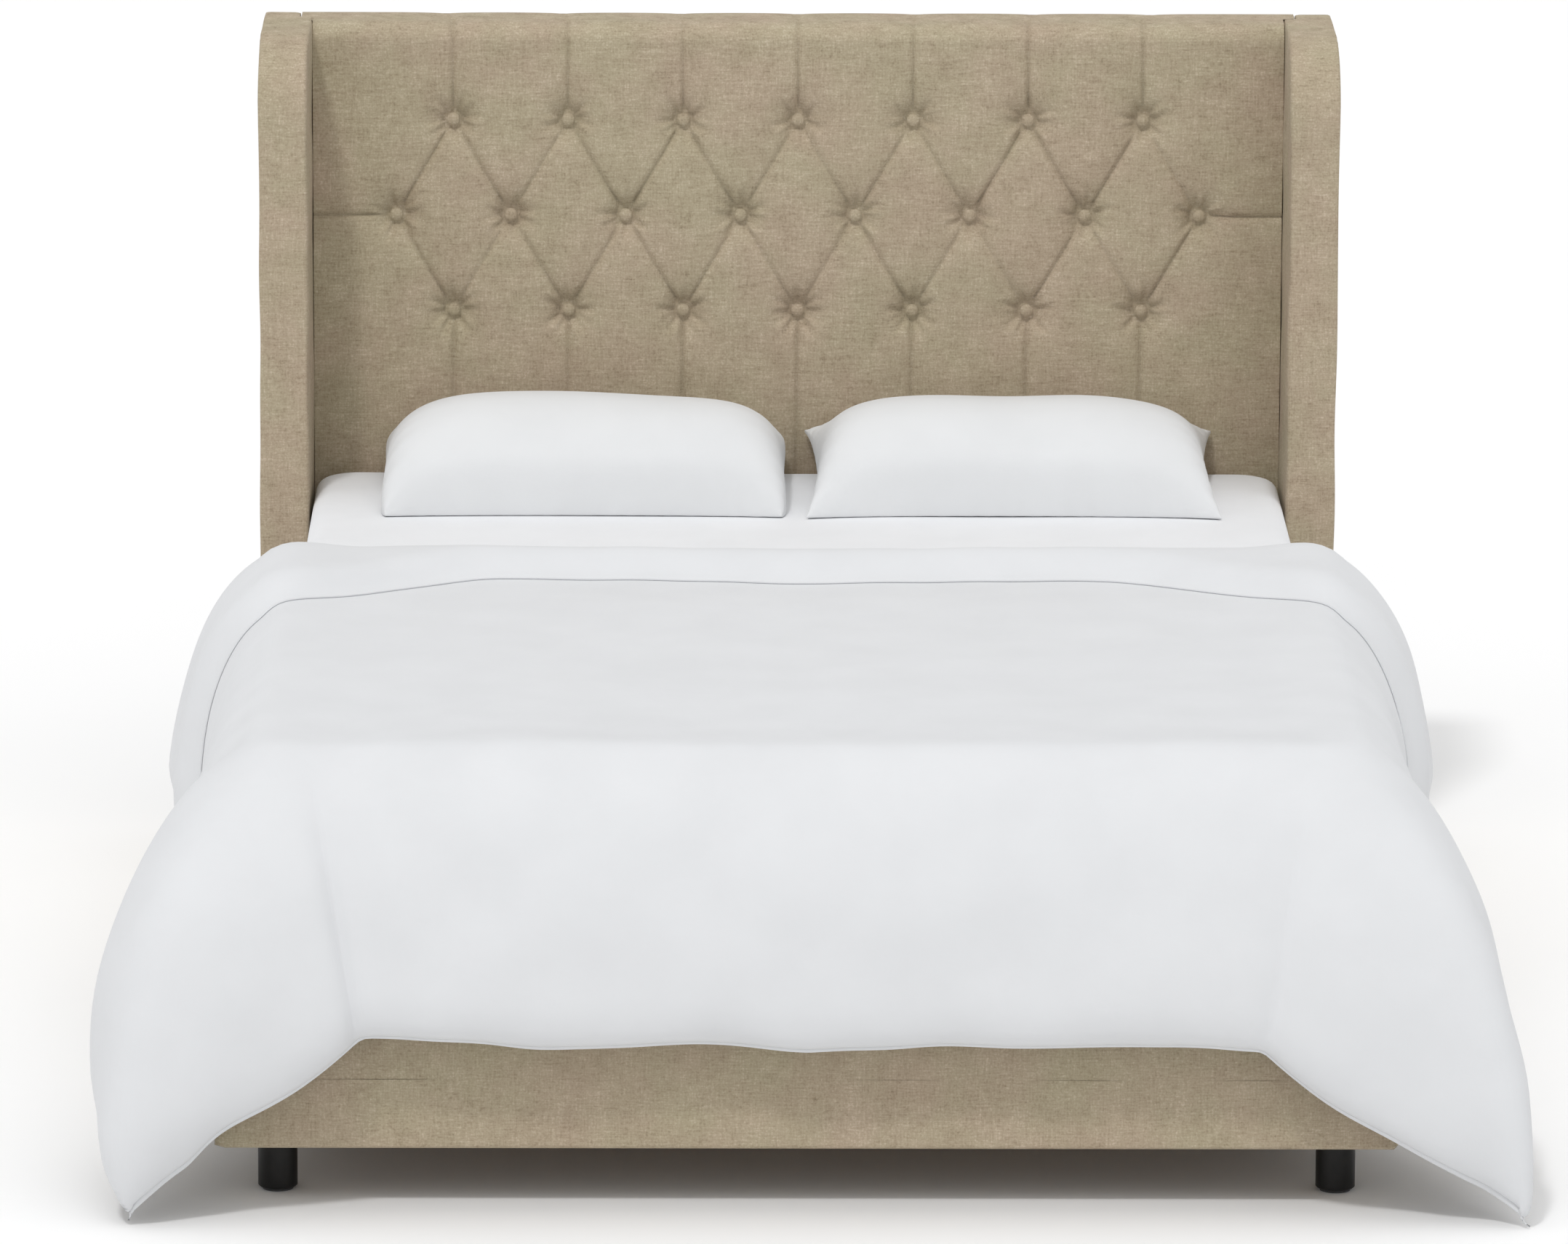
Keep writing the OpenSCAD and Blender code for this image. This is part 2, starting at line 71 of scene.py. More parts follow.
FACE_Y = low("headboard_cover")[1]
PANEL_Y = low("headboard_panel")[1]
INNER_X = -high("wing_cover_left")[0]
WING_OUT_X = high("wing_cover_right")[0]
WING_FRONT_Y = low("wing_cover_right")[1]
RAIL_LOW_Z = low("foot_rail_cover")[2]
RAIL_TOP_Z = high("foot_rail_cover")[2]
RAIL_OUT_X = high("foot_rail_cover")[0]
FOOT_Y = low("foot_rail_cover")[1]
SHEET_TOP_Z = high("fitted_sheet")[2]

BUTTON_D = 0.019
# How far in front of a button's back the cover grips it
BUTTON_GRIP = 0.0030
BUTTON_BOX = (low("tuft_buttons"), high("tuft_buttons"))
TUFT_X = (BUTTON_BOX[1][0] - BUTTON_BOX[0][0] - BUTTON_D) / 7
TUFT_Z = (BUTTON_BOX[1][2] - BUTTON_BOX[0][2] - BUTTON_D) / 2
TUFT_MID_Z = (BUTTON_BOX[1][2] + BUTTON_BOX[0][2]) / 2
TUFT_DEPTH = BUTTON_BOX[1][1] - FACE_Y
# Spacing of the points of the tufted cover, in step with the buttons
FINE_X = TUFT_X / 66
FINE_Z = TUFT_Z / 54
TUFT_LOW_Z = TUFT_MID_Z - 118 * FINE_Z
# Pleats: depth half way between buttons, extra depth beside a button and how fast that fades, half width
CREASE_MID = 0.0042
CREASE_END = 0.0085
CREASE_FADE = 0.040
CREASE_W = 0.0030
# Soft valley round a pleat
VALLEY_DEPTH = 0.005
VALLEY_W = 0.024
# Cover round a button: how far it reaches, widths of its funnel and bowl, depths of its bowl and folds
BUTTON_REACH = 0.16
FUNNEL_W = 0.0110
BOWL_W = 0.036
BOWL_DEPTH = 0.0120
BUTTON_FOLD = 0.0022

# ------------------------ helpers for shapes


def hand(side):
    return "left" if side < 0 else "right"


def smoothstep(start, end, value):
    t = np.clip((value - start) / (end - start), 0.0, 1.0)
    return t * t * (3 - 2 * t)


def ripple(points, wavelength, seed, count=14):
    """Smooth noise between about -1 and 1: a sum of waves in fixed random directions."""
    rng = np.random.default_rng(seed)
    total = np.zeros(points.shape[:-1])
    for _ in range(count):
        direction = rng.normal(size=3)
        direction /= np.linalg.norm(direction)
        length = wavelength * rng.uniform(0.7, 1.5)
        total += np.sin(points @ direction * 2 * math.pi / length + rng.uniform(0, 2 * math.pi))
    return total / math.sqrt(count)


def quarter(steps):
    """Angles of a quarter turn."""
    return [math.pi / 2 * i / steps for i in range(steps + 1)]


def curve_through(knots, at):
    """Points of a smooth curve through knots, at values from 0 to 1."""
    knots = np.array(knots, float)
    last = len(knots) - 1
    padded = np.vstack([2 * knots[0] - knots[1], knots, 2 * knots[-1] - knots[-2]])
    span = np.clip(at, 0, 1) * last
    i = np.minimum(span.astype(int), last - 1)
    t = (span - i)[..., None]
    a, b, c, d = padded[i], padded[i + 1], padded[i + 2], padded[i + 3]
    square, cube = 2 * a - 5 * b + 4 * c - d, 3 * b - a - 3 * c + d
    return 0.5 * (2 * b + (c - a) * t + square * t**2 + cube * t**3)


def add_mesh(name, verts, faces):
    """New smooth-shaded object with its faces turned outward."""
    mesh = bpy.data.meshes.new(name)
    mesh.from_pydata([tuple(v) for v in verts], [], [tuple(f) for f in faces])
    mesh.validate()
    piece = bpy.data.objects.new(name, mesh)
    bpy.context.scene.collection.objects.link(piece)
    work = bmesh.new()
    work.from_mesh(mesh)
    bmesh.ops.recalc_face_normals(work, faces=work.faces)
    work.to_mesh(mesh)
    work.free()
    mesh.polygons.foreach_set("use_smooth", [True] * len(mesh.polygons))
    return piece


def numbered(rows, columns, first=0):
    """Indices of a grid of points, row by row."""
    return np.arange(rows * columns).reshape(rows, columns) + first


def grid_quads(rows, columns, first=0):
    """Faces of a grid of points whose first point has index first."""
    index = numbered(rows, columns, first)
    corners = [index[:-1, :-1], index[:-1, 1:], index[1:, 1:], index[1:, :-1]]
    return np.stack(corners, -1).reshape(-1, 4).tolist()


def rim_of(rows, columns):
    """Indices round the border of a grid, in order."""
    index = numbered(rows, columns)
    return np.concatenate([index[0, :-1], index[:-1, -1], index[-1, :0:-1], index[:0:-1, 0]])


def grid_normals(points):
    across = np.gradient(points, axis=1)
    along = np.gradient(points, axis=0)
    normal = np.cross(across, along)
    return normal / np.maximum(np.linalg.norm(normal, axis=-1, keepdims=True), 1e-9)


def relax(points, rounds):
    """Evens out a grid of points, leaving its border."""
    points = points.copy()
    for _ in range(rounds):
        near = points[:-2, 1:-1] + points[2:, 1:-1] + points[1:-1, :-2] + points[1:-1, 2:]
        points[1:-1, 1:-1] += 0.5 * (near / 4 - points[1:-1, 1:-1])
    return points


def joined(rim, count):
    """Faces between a rim and its match, count points further on."""
    follow = np.roll(rim, -1)
    return np.stack([rim, follow, follow + count, rim + count], -1).tolist()


def banded(name, outer, inner):
    """Closed body between two matching grids of points."""
    rows, columns = outer.shape[:2]
    count = rows * columns
    faces = grid_quads(rows, columns) + grid_quads(rows, columns, count)
    faces += joined(rim_of(rows, columns), count)
    return add_mesh(name, [*outer.reshape(-1, 3), *inner.reshape(-1, 3)], faces)


def quilt(name, middle, half):
    """Closed cloth body round a grid of middle points, half as thick on each side."""
    offset = grid_normals(middle) * half[..., None]
    return banded(name, middle + offset, middle - offset)


def apply_modifiers(piece):
    graph = bpy.context.evaluated_depsgraph_get()
    mesh = bpy.data.meshes.new_from_object(piece.evaluated_get(graph))
    piece.modifiers.clear()
    piece.data = mesh


def remeshed(piece, voxel, rounds):
    """Turns a sharp solid into an even skin with softened edges."""
    mod = piece.modifiers.new("voxels", "REMESH")
    mod.mode = "VOXEL"
    mod.voxel_size = voxel
    mod.use_smooth_shade = True
    soft = piece.modifiers.new("soften", "SMOOTH")
    soft.factor = 0.5
    soft.iterations = rounds
    apply_modifiers(piece)


def push(piece, amount):
    """Moves each point along its normal by amount(points)."""
    mesh = piece.data
    points = np.empty(len(mesh.vertices) * 3)
    normals = np.empty(len(mesh.vertices) * 3)
    mesh.vertices.foreach_get("co", points)
    mesh.vertices.foreach_get("normal", normals)
    points = points.reshape(-1, 3)
    normals = normals.reshape(-1, 3)
    moved = points + normals * amount(points)[:, None]
    mesh.vertices.foreach_set("co", moved.ravel())
    mesh.update()


def prism(low_loop, high_loop):
    """Corner points and faces of a solid between two matching outlines."""
    count = len(low_loop)
    faces = [list(range(count)), list(range(2 * count - 1, count - 1, -1))]
    faces += [[i, (i + 1) % count, (i + 1) % count + count, i + count] for i in range(count)]
    return list(low_loop) + list(high_loop), faces


def bevel_edges(piece, width_of, segments):
    """Rounds each sharp edge by the width that width_of(middle of the edge) gives."""
    sharp = 0.6
    mesh = piece.data
    work = bmesh.new()
    work.from_mesh(mesh)
    work.edges.ensure_lookup_table()
    widths = []
    for edge in work.edges:
        middle = (edge.verts[0].co + edge.verts[1].co) / 2
        widths.append(width_of(middle) if edge.calc_face_angle(0) > sharp else 0.0)
    work.free()
    most = max(widths)
    weights = mesh.attributes.new("bevel_weight_edge", "FLOAT", "EDGE")
    weights.data.foreach_set("value", [w / most for w in widths])
    mod = piece.modifiers.new("round", "BEVEL")
    mod.limit_method = "WEIGHT"
    mod.width = most
    mod.segments = segments
    apply_modifiers(piece)


# ------------------------ materials


class Paint:
    """Shorthand for building one procedural material. Noise scales are per metre, lengths in metres."""

    def __init__(self, name):
        self.material = bpy.data.materials.new(name)
        self.material.use_nodes = True
        self.tree = self.material.node_tree
        self.shader = self.tree.nodes["Principled BSDF"]
        self.place = self.tree.nodes.new("ShaderNodeTexCoord").outputs["Object"]

    def node(self, kind, inputs, **settings):
        made = self.tree.nodes.new(kind)
        for key, value in settings.items():
            setattr(made, key, value)
        for key, value in inputs.items():
            self.put(made.inputs[key], value)
        return made

    def tinted(self, colour, tint):
        """Product of two colours."""
        inputs = {0: 1.0, 6: colour, 7: tint}
        return self.node("ShaderNodeMix", inputs, data_type="RGBA", blend_type="MULTIPLY").outputs[2]

    def put(self, socket, value):
        if isinstance(value, bpy.types.NodeSocket):
            self.tree.links.new(value, socket)
        else:
            socket.default_value = value

    def noise(self, scale, detail=3.0, roughness=0.55, stretch=(1, 1, 1)):
        mapped = self.node("ShaderNodeMapping", {"Vector": self.place, "Scale": stretch})
        inputs = {"Vector": mapped.outputs[0], "Scale": scale, "Detail": detail, "Roughness": roughness}
        return self.node("ShaderNodeTexNoise", inputs).outputs["Fac"]

    def math(self, operation, a, b=0.0, c=0.0):
        return self.node("ShaderNodeMath", {0: a, 1: b, 2: c}, operation=operation).outputs[0]

    def ramp(self, factor, stops):
        made = self.node("ShaderNodeValToRGB", {"Fac": factor})
        elements = made.color_ramp.elements
        while len(elements) < len(stops):
            elements.new(0.5)
        for element, (position, colour) in zip(elements, stops):
            element.position = position
            element.color = (*colour, 1)
        return made.outputs["Color"]

    def threads(self, pitch):
        """Height of a plain weave: two crossing sets of threads, pitch apart."""
        waves = []
        for axis in ((1, 1, 0), (0, 1, 1)):
            along = self.node("ShaderNodeVectorMath", {0: self.place, 1: axis}, operation="DOT_PRODUCT")
            turns = self.math("MULTIPLY", along.outputs["Value"], 2 * math.pi / pitch)
            waves.append(self.math("SINE", turns))
        return self.math("MULTIPLY", waves[0], waves[1])

    def bump(self, height, distance, strength, under=None):
        inputs = {"Height": height, "Distance": distance, "Strength": strength}
        if under is not None:
            inputs["Normal"] = under
        return self.node("ShaderNodeBump", inputs).outputs["Normal"]

    def finish(self, colour, roughness, normal=None, **plain):
        self.put(self.shader.inputs["Base Color"], colour)
        self.put(self.shader.inputs["Roughness"], roughness)
        if normal is not None:
            self.put(self.shader.inputs["Normal"], normal)
        for key, value in plain.items():
            self.shader.inputs[key.replace("_", " ")].default_value = value
        return self.material


def linen():
    """Heathered linen: fine slubby threads both ways over a soft two-tone mottle."""
    p = Paint("linen")
    across = p.noise(1.0, 4.0, 0.65, (46, 46, 400))
    upright = p.noise(1.0, 4.0, 0.65, (420, 420, 40))
    speckle = p.noise(330.0, 2.0, 0.6)
    mottle = p.noise(22.0, 4.0, 0.65)
    threads = p.math("MULTIPLY_ADD", across, 0.30, p.math("MULTIPLY", upright, 0.22))
    mix = p.math("ADD", p.math("MULTIPLY_ADD", speckle, 0.30, threads), p.math("MULTIPLY", mottle, 0.18))
    light = p.ramp(mix, [
        (0.34, (0.250, 0.200, 0.136)),
        (0.46, (0.410, 0.342, 0.250)),
        (0.54, (0.468, 0.397, 0.296)),
        (0.66, (0.640, 0.565, 0.450)),
    ])
    hue = p.ramp(p.noise(7.0, 3.0, 0.6), [(0.36, (1.0, 0.958, 0.945)), (0.64, (0.968, 0.985, 0.925))])
    fine = p.bump(p.threads(0.0011), 0.0004, 0.35)
    slub = p.bump(p.math("MULTIPLY_ADD", speckle, 0.2, threads), 0.0015, 0.6, fine)
    return p.finish(p.tinted(light, hue), 0.94, slub, Sheen_Weight=0.05, Specular_IOR_Level=0.15)


def cotton(name, colour, crinkle):
    """Fine white percale with a faint crinkle."""
    p = Paint(name)
    tone = p.noise(9.0, 3.0, 0.5)
    shade = [c * 0.965 for c in colour]
    paint = p.ramp(tone, [(0.3, shade), (0.7, colour)])
    fine = p.bump(p.threads(0.0008), 0.0002, 0.2)
    soft = p.bump(p.noise(38.0, 4.0, 0.55), 0.0016, crinkle, fine)
    return p.finish(paint, 0.88, soft, Sheen_Weight=0.08, Sheen_Roughness=0.5)


def timber(name, dark, light, stretch=(6, 90, 90)):
    """Planed softwood: long grain with finer pores."""
    p = Paint(name)
    grain = p.noise(1.0, 4.0, 0.6, stretch)
    pores = p.noise(1.0, 2.0, 0.5, tuple(4 * s for s in stretch))
    mix = p.math("ADD", p.math("MULTIPLY", grain, 0.75), p.math("MULTIPLY", pores, 0.25))
    colour = p.ramp(mix, [(0.35, dark), (0.62, light)])
    return p.finish(colour, p.math("MULTIPLY_ADD", pores, 0.2, 0.5), p.bump(mix, 0.0006, 0.4))


def black_paint():
    """Satin black enamel with a faint unevenness."""
    p = Paint("black_paint")
    tone = p.noise(60.0, 3.0, 0.5)
    colour = p.ramp(tone, [(0.3, (0.004, 0.0035, 0.003)), (0.75, (0.009, 0.008, 0.007))])
    roughness = p.math("MULTIPLY_ADD", p.noise(25.0, 3.0), 0.25, 0.30)
    return p.finish(colour, roughness, p.bump(tone, 0.0002, 0.3), Specular_IOR_Level=0.3)


def grained(name, noise, dark, light, rough, strength, **plain):
    """Hard surface with a fine grain in its colour, gloss and height."""
    p = Paint(name)
    grain = p.noise(*noise)
    colour = p.ramp(grain, [(0.3, dark), (0.7, light)])
    roughness = p.math("MULTIPLY_ADD", grain, *rough)
    return p.finish(colour, roughness, p.bump(grain, 0.0002, strength), **plain)


def plain_fabric(name, dark, light, pitch):
    """Loose technical cloth or felt."""
    p = Paint(name)
    tone = p.noise(120.0, 3.0, 0.6)
    colour = p.ramp(tone, [(0.3, dark), (0.7, light)])
    height = p.math("MULTIPLY_ADD", p.threads(pitch), 0.5, tone)
    return p.finish(colour, 0.95, p.bump(height, 0.0005, 0.5))


STEEL_STREAK = (1.0, 3.0, 0.6, (30, 400, 400))
PLASTIC_GRAIN = (900.0, 2.0, 0.5)

PAINTS = {
    "linen": linen(),
    "wood": timber("wood", (0.42, 0.27, 0.14), (0.62, 0.45, 0.27)),
    "plywood": timber("plywood", (0.50, 0.36, 0.20), (0.68, 0.52, 0.33), (4, 60, 40)),
    "foam": plain_fabric("foam", (0.72, 0.62, 0.40), (0.82, 0.74, 0.52), 0.003),
    "dust_cover": plain_fabric("dust_cover", (0.02, 0.02, 0.02), (0.05, 0.05, 0.05), 0.0015),
    "twine": plain_fabric("twine", (0.60, 0.55, 0.45), (0.75, 0.70, 0.60), 0.001),
    "steel": grained(
        "steel", STEEL_STREAK, (0.42, 0.43, 0.44), (0.62, 0.63, 0.64), (0.25, 0.25), 0.3, Metallic=0.9
    ),
    "black_paint": black_paint(),
    "glide_plastic": grained(
        "glide_plastic", PLASTIC_GRAIN, (0.035, 0.035, 0.035), (0.06, 0.06, 0.06), (0.2, 0.5), 0.4
    ),
    "ticking": cotton("ticking", (0.74, 0.74, 0.73), 0.6),
    "sheet_cotton": cotton("sheet_cotton", (0.80, 0.81, 0.83), 0.3),
    "duvet_cotton": cotton("duvet_cotton", (0.713, 0.723, 0.739), 0.3),
    "pillow_cotton": cotton("pillow_cotton", (0.735, 0.745, 0.755), 0.3),
}


def dress(piece, slot_name, body):
    """Gives a new piece its material, its slot and its body."""
    piece.data.materials.clear()
    piece.data.materials.append(PAINTS[slot_name])
    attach(piece, body)


def paint_cad_nodes():
    """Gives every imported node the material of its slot."""
    for part in frame["record"]["subparts"]:
        node = frame["nodes"][part["node"]]
        node.data.materials.clear()
        node.data.materials.append(PAINTS[part["material_slot"]])


# ------------------------ tufted headboard


def tuft_rows():
    """The buttons of each row, as arrays of x, with the row's height."""
    rows = []
    for count, step in ((7, 1), (8, 0), (7, -1)):
        rows.append(((np.arange(count) - (count - 1) / 2) * TUFT_X, TUFT_MID_Z + step * TUFT_Z))
    return rows


def pleat_lines(bottom_z, top_w):
    """Creases of the tufting, as (start, end) in the plane of the cover."""
    (upper, upper_z), (middle, middle_z), (lower, lower_z) = tuft_rows()
    lines = []
    for xs, z, end in ((upper, upper_z, top_w), (lower, lower_z, bottom_z)):
        for x in xs:
            lines.append(((x, z), (x, end)))
            lines.append(((x, z), (x - TUFT_X / 2, middle_z)))
            lines.append(((x, z), (x + TUFT_X / 2, middle_z)))
    for side in (-1, 1):
        lines.append(((side * middle[-1], middle_z), (side * INNER_X, middle_z)))
    return lines


def line_distance(x, w, line):
    """Distance from a crease, and how far along it from its nearer button, both in metres."""
    (ax, aw), (bx, bw) = line
    dx, dw = bx - ax, bw - aw
    length = math.hypot(dx, dw)
    t = np.clip(((x - ax) * dx + (w - aw) * dw) / length**2, 0, 1)
    away = np.hypot(x - ax - t * dx, w - aw - t * dw)
    return away, t * length, length


def tuft_sink(x, w, bottom_z, top_w):
    """How far the cover lies behind its crest at a point of its plane."""
    nearest_crease = np.full(x.shape, 1.0)
    crease = np.zeros(x.shape)
    rng = np.random.default_rng(7)
    for line in pleat_lines(bottom_z, top_w):
        away, along, length = line_distance(x, w, line)
        diagonal = line[0][0] != line[1][0] and line[0][1] != line[1][1]
        reach = np.minimum(along, length - along) if diagonal else along
        firm = rng.uniform(0.55, 1.15) if diagonal else rng.uniform(0.85, 1.2)
        depth = firm * (CREASE_MID + CREASE_END * np.exp(-reach / CREASE_FADE))
        crease = np.maximum(crease, depth * np.exp(-np.abs(away / CREASE_W) ** 1.2))
        nearest_crease = np.minimum(nearest_crease, away)
    sink = crease + VALLEY_DEPTH * np.exp(-nearest_crease / VALLEY_W)
    for xs, z in tuft_rows():
        for cx in xs:
            dx, dz = x - cx, w - z
            near = np.hypot(dx, dz) < BUTTON_REACH
            sink[near] = button_pull(dx[near], dz[near], sink[near], rng)
    return np.minimum(sink, TUFT_DEPTH)


def button_pull(dx, dz, sink, rng):
    """Deepens the cover round one button, with small folds running into it."""
    r = np.hypot(dx, dz)
    angle = np.arctan2(dz, dx)
    broad = np.cos(7 * angle + rng.uniform(0, 6.28))
    folds = broad + 0.7 * np.cos(12 * angle + rng.uniform(0, 6.28))
    window = smoothstep(0.010, 0.016, r) * (1 - smoothstep(0.020, 0.052, r))
    funnel = (TUFT_DEPTH - BUTTON_GRIP) * np.exp(-np.maximum(r - BUTTON_D / 2, 0) / FUNNEL_W)
    bowl = BOWL_DEPTH * np.exp(-((r / BOWL_W) ** 2))
    inside = r < BUTTON_D / 2 + 0.001
    pulled = np.maximum(sink, funnel + 0.45 * sink) + bowl * (1 - inside) + BUTTON_FOLD * folds * window
    return np.where(inside, TUFT_DEPTH - BUTTON_GRIP, pulled)


def cover_path(bottom_z, crest_z, roll, back_y, flap_z):
    """Front, top roll, top and back turn-down: y, z, inward y and z, length along, rows behind."""
    coarse, back_edge = 0.012, 0.002
    steps = [np.arange(bottom_z, TUFT_LOW_Z, coarse)]
    steps.append(np.arange(TUFT_LOW_Z, crest_z - roll, FINE_Z))
    front = np.concatenate(steps)
    turn = np.linspace(0, math.pi / 2, int(roll * math.pi / 2 / FINE_Z))
    top = np.linspace(FACE_Y + roll, back_y - back_edge, 12)[1:]
    behind = np.linspace(crest_z - back_edge, flap_z, 5)
    y = [np.full_like(front, FACE_Y), FACE_Y + roll * (1 - np.cos(turn))]
    y += [top, np.full_like(behind, back_y)]
    z = [front, crest_z - roll + roll * np.sin(turn), np.full_like(top, crest_z), behind]
    inward_y = [np.ones_like(front), np.cos(turn), np.zeros_like(top), -np.ones_like(behind)]
    inward_z = [np.zeros_like(front), -np.sin(turn), -np.ones_like(top), np.zeros_like(behind)]
    y, z, inward_y, inward_z = (np.concatenate(part) for part in (y, z, inward_y, inward_z))
    travelled = np.concatenate([[0], np.cumsum(np.hypot(np.diff(y), np.diff(z)))])
    return y, z, inward_y, inward_z, bottom_z + travelled, len(behind)


def headboard_cover():
    """Tufted linen front that rolls over the headboard's top edge and turns down behind it."""
    bottom_z = low("headboard_cover")[2]
    crest_z = high("headboard_cover")[2]
    flap_z = high("headboard_back_cover")[2] + 0.0008
    back_y = high("headboard_cover")[1]
    wood_top_z = high("headboard_top_rail")[2] + 0.0004
    wood_back_y = high("headboard_top_rail")[1] + 0.0003
    half_w = INNER_X - 0.0006
    flap_half_w = high("headboard_cover")[0]
    roll, past_top = 0.030, 0.3
    path_y, path_z, inward_y, inward_z, w, flap_rows = cover_path(bottom_z, crest_z, roll, back_y, flap_z)
    steps = int(half_w / FINE_X)
    across = np.concatenate([[-half_w], np.arange(-steps, steps + 1) * FINE_X, [half_w]])
    x, w = np.meshgrid(across, w)
    points = np.stack([x, x * 0 + path_y[:, None], x * 0 + path_z[:, None]], -1)
    inward = np.stack([x * 0, x * 0 + inward_y[:, None], x * 0 + inward_z[:, None]], -1)
    sink = tuft_sink(x, w, bottom_z, crest_z + past_top)
    # The pleats run on over the top edge, but shallow there, because the wood is close beneath.
    past_roll = smoothstep(FACE_Y + 0.02, FACE_Y + 0.07, points[..., 1])
    sink = np.minimum(sink * (1 - 0.60 * past_roll), 0.030 - 0.0270 * past_roll)
    unevenness = 0.0006
    sink += (1 - past_roll) * unevenness * (1 + ripple(points, 0.11, 3))
    sink[-flap_rows:] = 0
    points += inward * sink[..., None]
    behind = path_y > PANEL_Y
    points[behind, :, 0] *= flap_half_w / half_w
    rows, columns = x.shape
    index = numbered(rows, columns)
    count = rows * columns
    inner_path = [(PANEL_Y - 0.0005, bottom_z, half_w), (PANEL_Y - 0.0005, wood_top_z, half_w)]
    inner_path += [(wood_back_y, wood_top_z, flap_half_w), (wood_back_y, flap_z, flap_half_w)]
    inner = [(side * hx, y, z) for y, z, hx in inner_path for side in (-1, 1)]
    faces = grid_quads(rows, columns)
    faces.append([count, count + 1] + index[0, ::-1].tolist())
    faces.append([count + 7, count + 6] + index[-1].tolist())
    faces.append([count + i for i in (6, 4, 2, 0)] + index[:, 0].tolist())
    faces.append([count + i for i in (1, 3, 5, 7)] + index[::-1, -1].tolist())
    faces += [[count + i, count + i + 1, count + i + 3, count + i + 2] for i in (0, 2, 4)]
    piece = add_mesh("headboard_tufted_pad", [*points.reshape(-1, 3), *inner], faces)
    dress(piece, "linen", "frame")
    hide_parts("headboard_cover", "headboard_foam")


# ------------------------ wings and rails


def wing_outline(front, back, low_z, top_z, radius):
    """Side view of a wing as (y, z), with a rounded top front corner."""
    centre_y, centre_z = front + radius, top_z - radius
    outline = [(back, low_z), (front, low_z)]
    outline += [(centre_y - radius * math.cos(a), centre_z + radius * math.sin(a)) for a in quarter(10)]
    outline.append((back, top_z))
    return outline


def wing(side):
    """Padded wing: a soft roll round its front and top, closed behind the headboard's padding."""
    name = hand(side)
    outer, inner = WING_OUT_X - 0.002, INNER_X + 0.0002
    top_z = high("headboard_cover")[2] + 0.0012
    core_x = low("wing_core_right")[0] + 0.001
    front, back = WING_FRONT_Y, high("wing_cover_right")[1] - 0.001
    # The full width in front of the headboard's panel, and a thinner slab that runs on to the back
    slabs = ((inner, front, PANEL_Y - 0.002, 0.12), (core_x, front + 0.1, back, 0.04))
    verts, faces = [], []
    for x_in, y_in, y_back, radius in slabs:
        outline = wing_outline(y_in, y_back, RAIL_LOW_Z, top_z, radius)
        loops = [[(side * x, y, z) for y, z in outline] for x in (x_in, outer)]
        new_verts, new_faces = prism(*loops)
        faces += [[i + len(verts) for i in face] for face in new_faces]
        verts += new_verts

    def roll(middle):
        """Edge radius: small below and behind, large outside, nearly square along the inner top."""
        if middle.z < RAIL_LOW_Z + 0.001 or middle.y > PANEL_Y - 0.01:
            return 0.004
        if abs(middle.x) > outer - 0.001:
            return 0.036 if middle.z > top_z - 0.09 else 0.024
        return 0.002 if middle.z > top_z - 0.006 else 0.020

    piece = add_mesh(f"wing_pad_{name}", verts, faces)
    bevel_edges(piece, roll, segments=6)
    remeshed(piece, voxel=0.0055, rounds=3)
    push(piece, lambda p: 0.0010 * ripple(p, 0.18, 11 + side) * smoothstep(0.1, 0.25, p[:, 2]))
    dress(piece, "linen", "frame")
    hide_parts(f"wing_cover_{name}", f"wing_foam_{name}")


def round_section(half_z, depth, radius, lip):
    """Open section of a padded rail as (depth, height), from its top lip round to its bottom lip."""
    centre_d, centre_z = depth - radius, half_z - radius
    upper = [(centre_d + radius * math.sin(a), centre_z + radius * math.cos(a)) for a in quarter(8)]
    face = [(depth, z) for z in np.linspace(half_z - radius, radius - half_z, 16)[1:-1]]
    top = [(d, half_z) for d in np.linspace(lip, depth - radius, 5)[:-1]]
    path = top + upper + face + [(d, -z) for d, z in (top + upper)[::-1]]
    return np.array(path)


def side_rail_pad(side):
    """Linen and padding over the outside, top and bottom of a side rail's board."""
    name = hand(side)
    board_low, board_high = low("side_rail_right"), high("side_rail_right")
    mid_z = (RAIL_LOW_Z + RAIL_TOP_Z) / 2
    half_z = (RAIL_TOP_Z - RAIL_LOW_Z) / 2
    outside = round_section(half_z, RAIL_OUT_X - board_low[0], radius=0.010, lip=0.0003)
    slack, end_gap, unevenness = 0.0004, 0.0006, 0.0007
    end_dent, dent_w = 0.004, 0.004
    board_t = board_high[0] - board_low[0] + slack
    board_half = half_z - (RAIL_TOP_Z - board_high[2]) + slack
    inside_z = np.clip(outside[:, 1], -board_half, board_half)
    inside = np.column_stack([np.minimum(outside[:, 0], board_t), inside_z])
    ends = (high("foot_rail_cover")[1] + end_gap, high("side_rail_cover_right")[1] - end_gap)
    stations = np.linspace(*ends, 150)
    rows, columns = len(stations), len(outside)
    rings = []
    for section, moves in ((outside, True), (inside, False)):
        ring = np.zeros((rows, columns, 3))
        ring[..., 0] = board_low[0] + section[:, 0]
        ring[..., 1] = stations[:, None]
        ring[..., 2] = mid_z + section[:, 1]
        if moves:
            near_end = np.minimum(stations - ends[0], ends[1] - stations)[:, None]
            faced = smoothstep(board_t, board_t + 0.015, section[:, 0])[None, :]
            dent = end_dent * np.exp(-near_end / dent_w)
            dent = dent + unevenness * (1 + ripple(ring, 0.16, 21 + side))
            ring[..., 0] -= dent * faced
        ring[..., 0] *= side
        rings.append(ring)
    piece = banded(f"side_rail_pad_{name}", *rings)
    dress(piece, "linen", "frame")
    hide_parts(f"side_rail_cover_{name}", f"side_rail_foam_{name}")


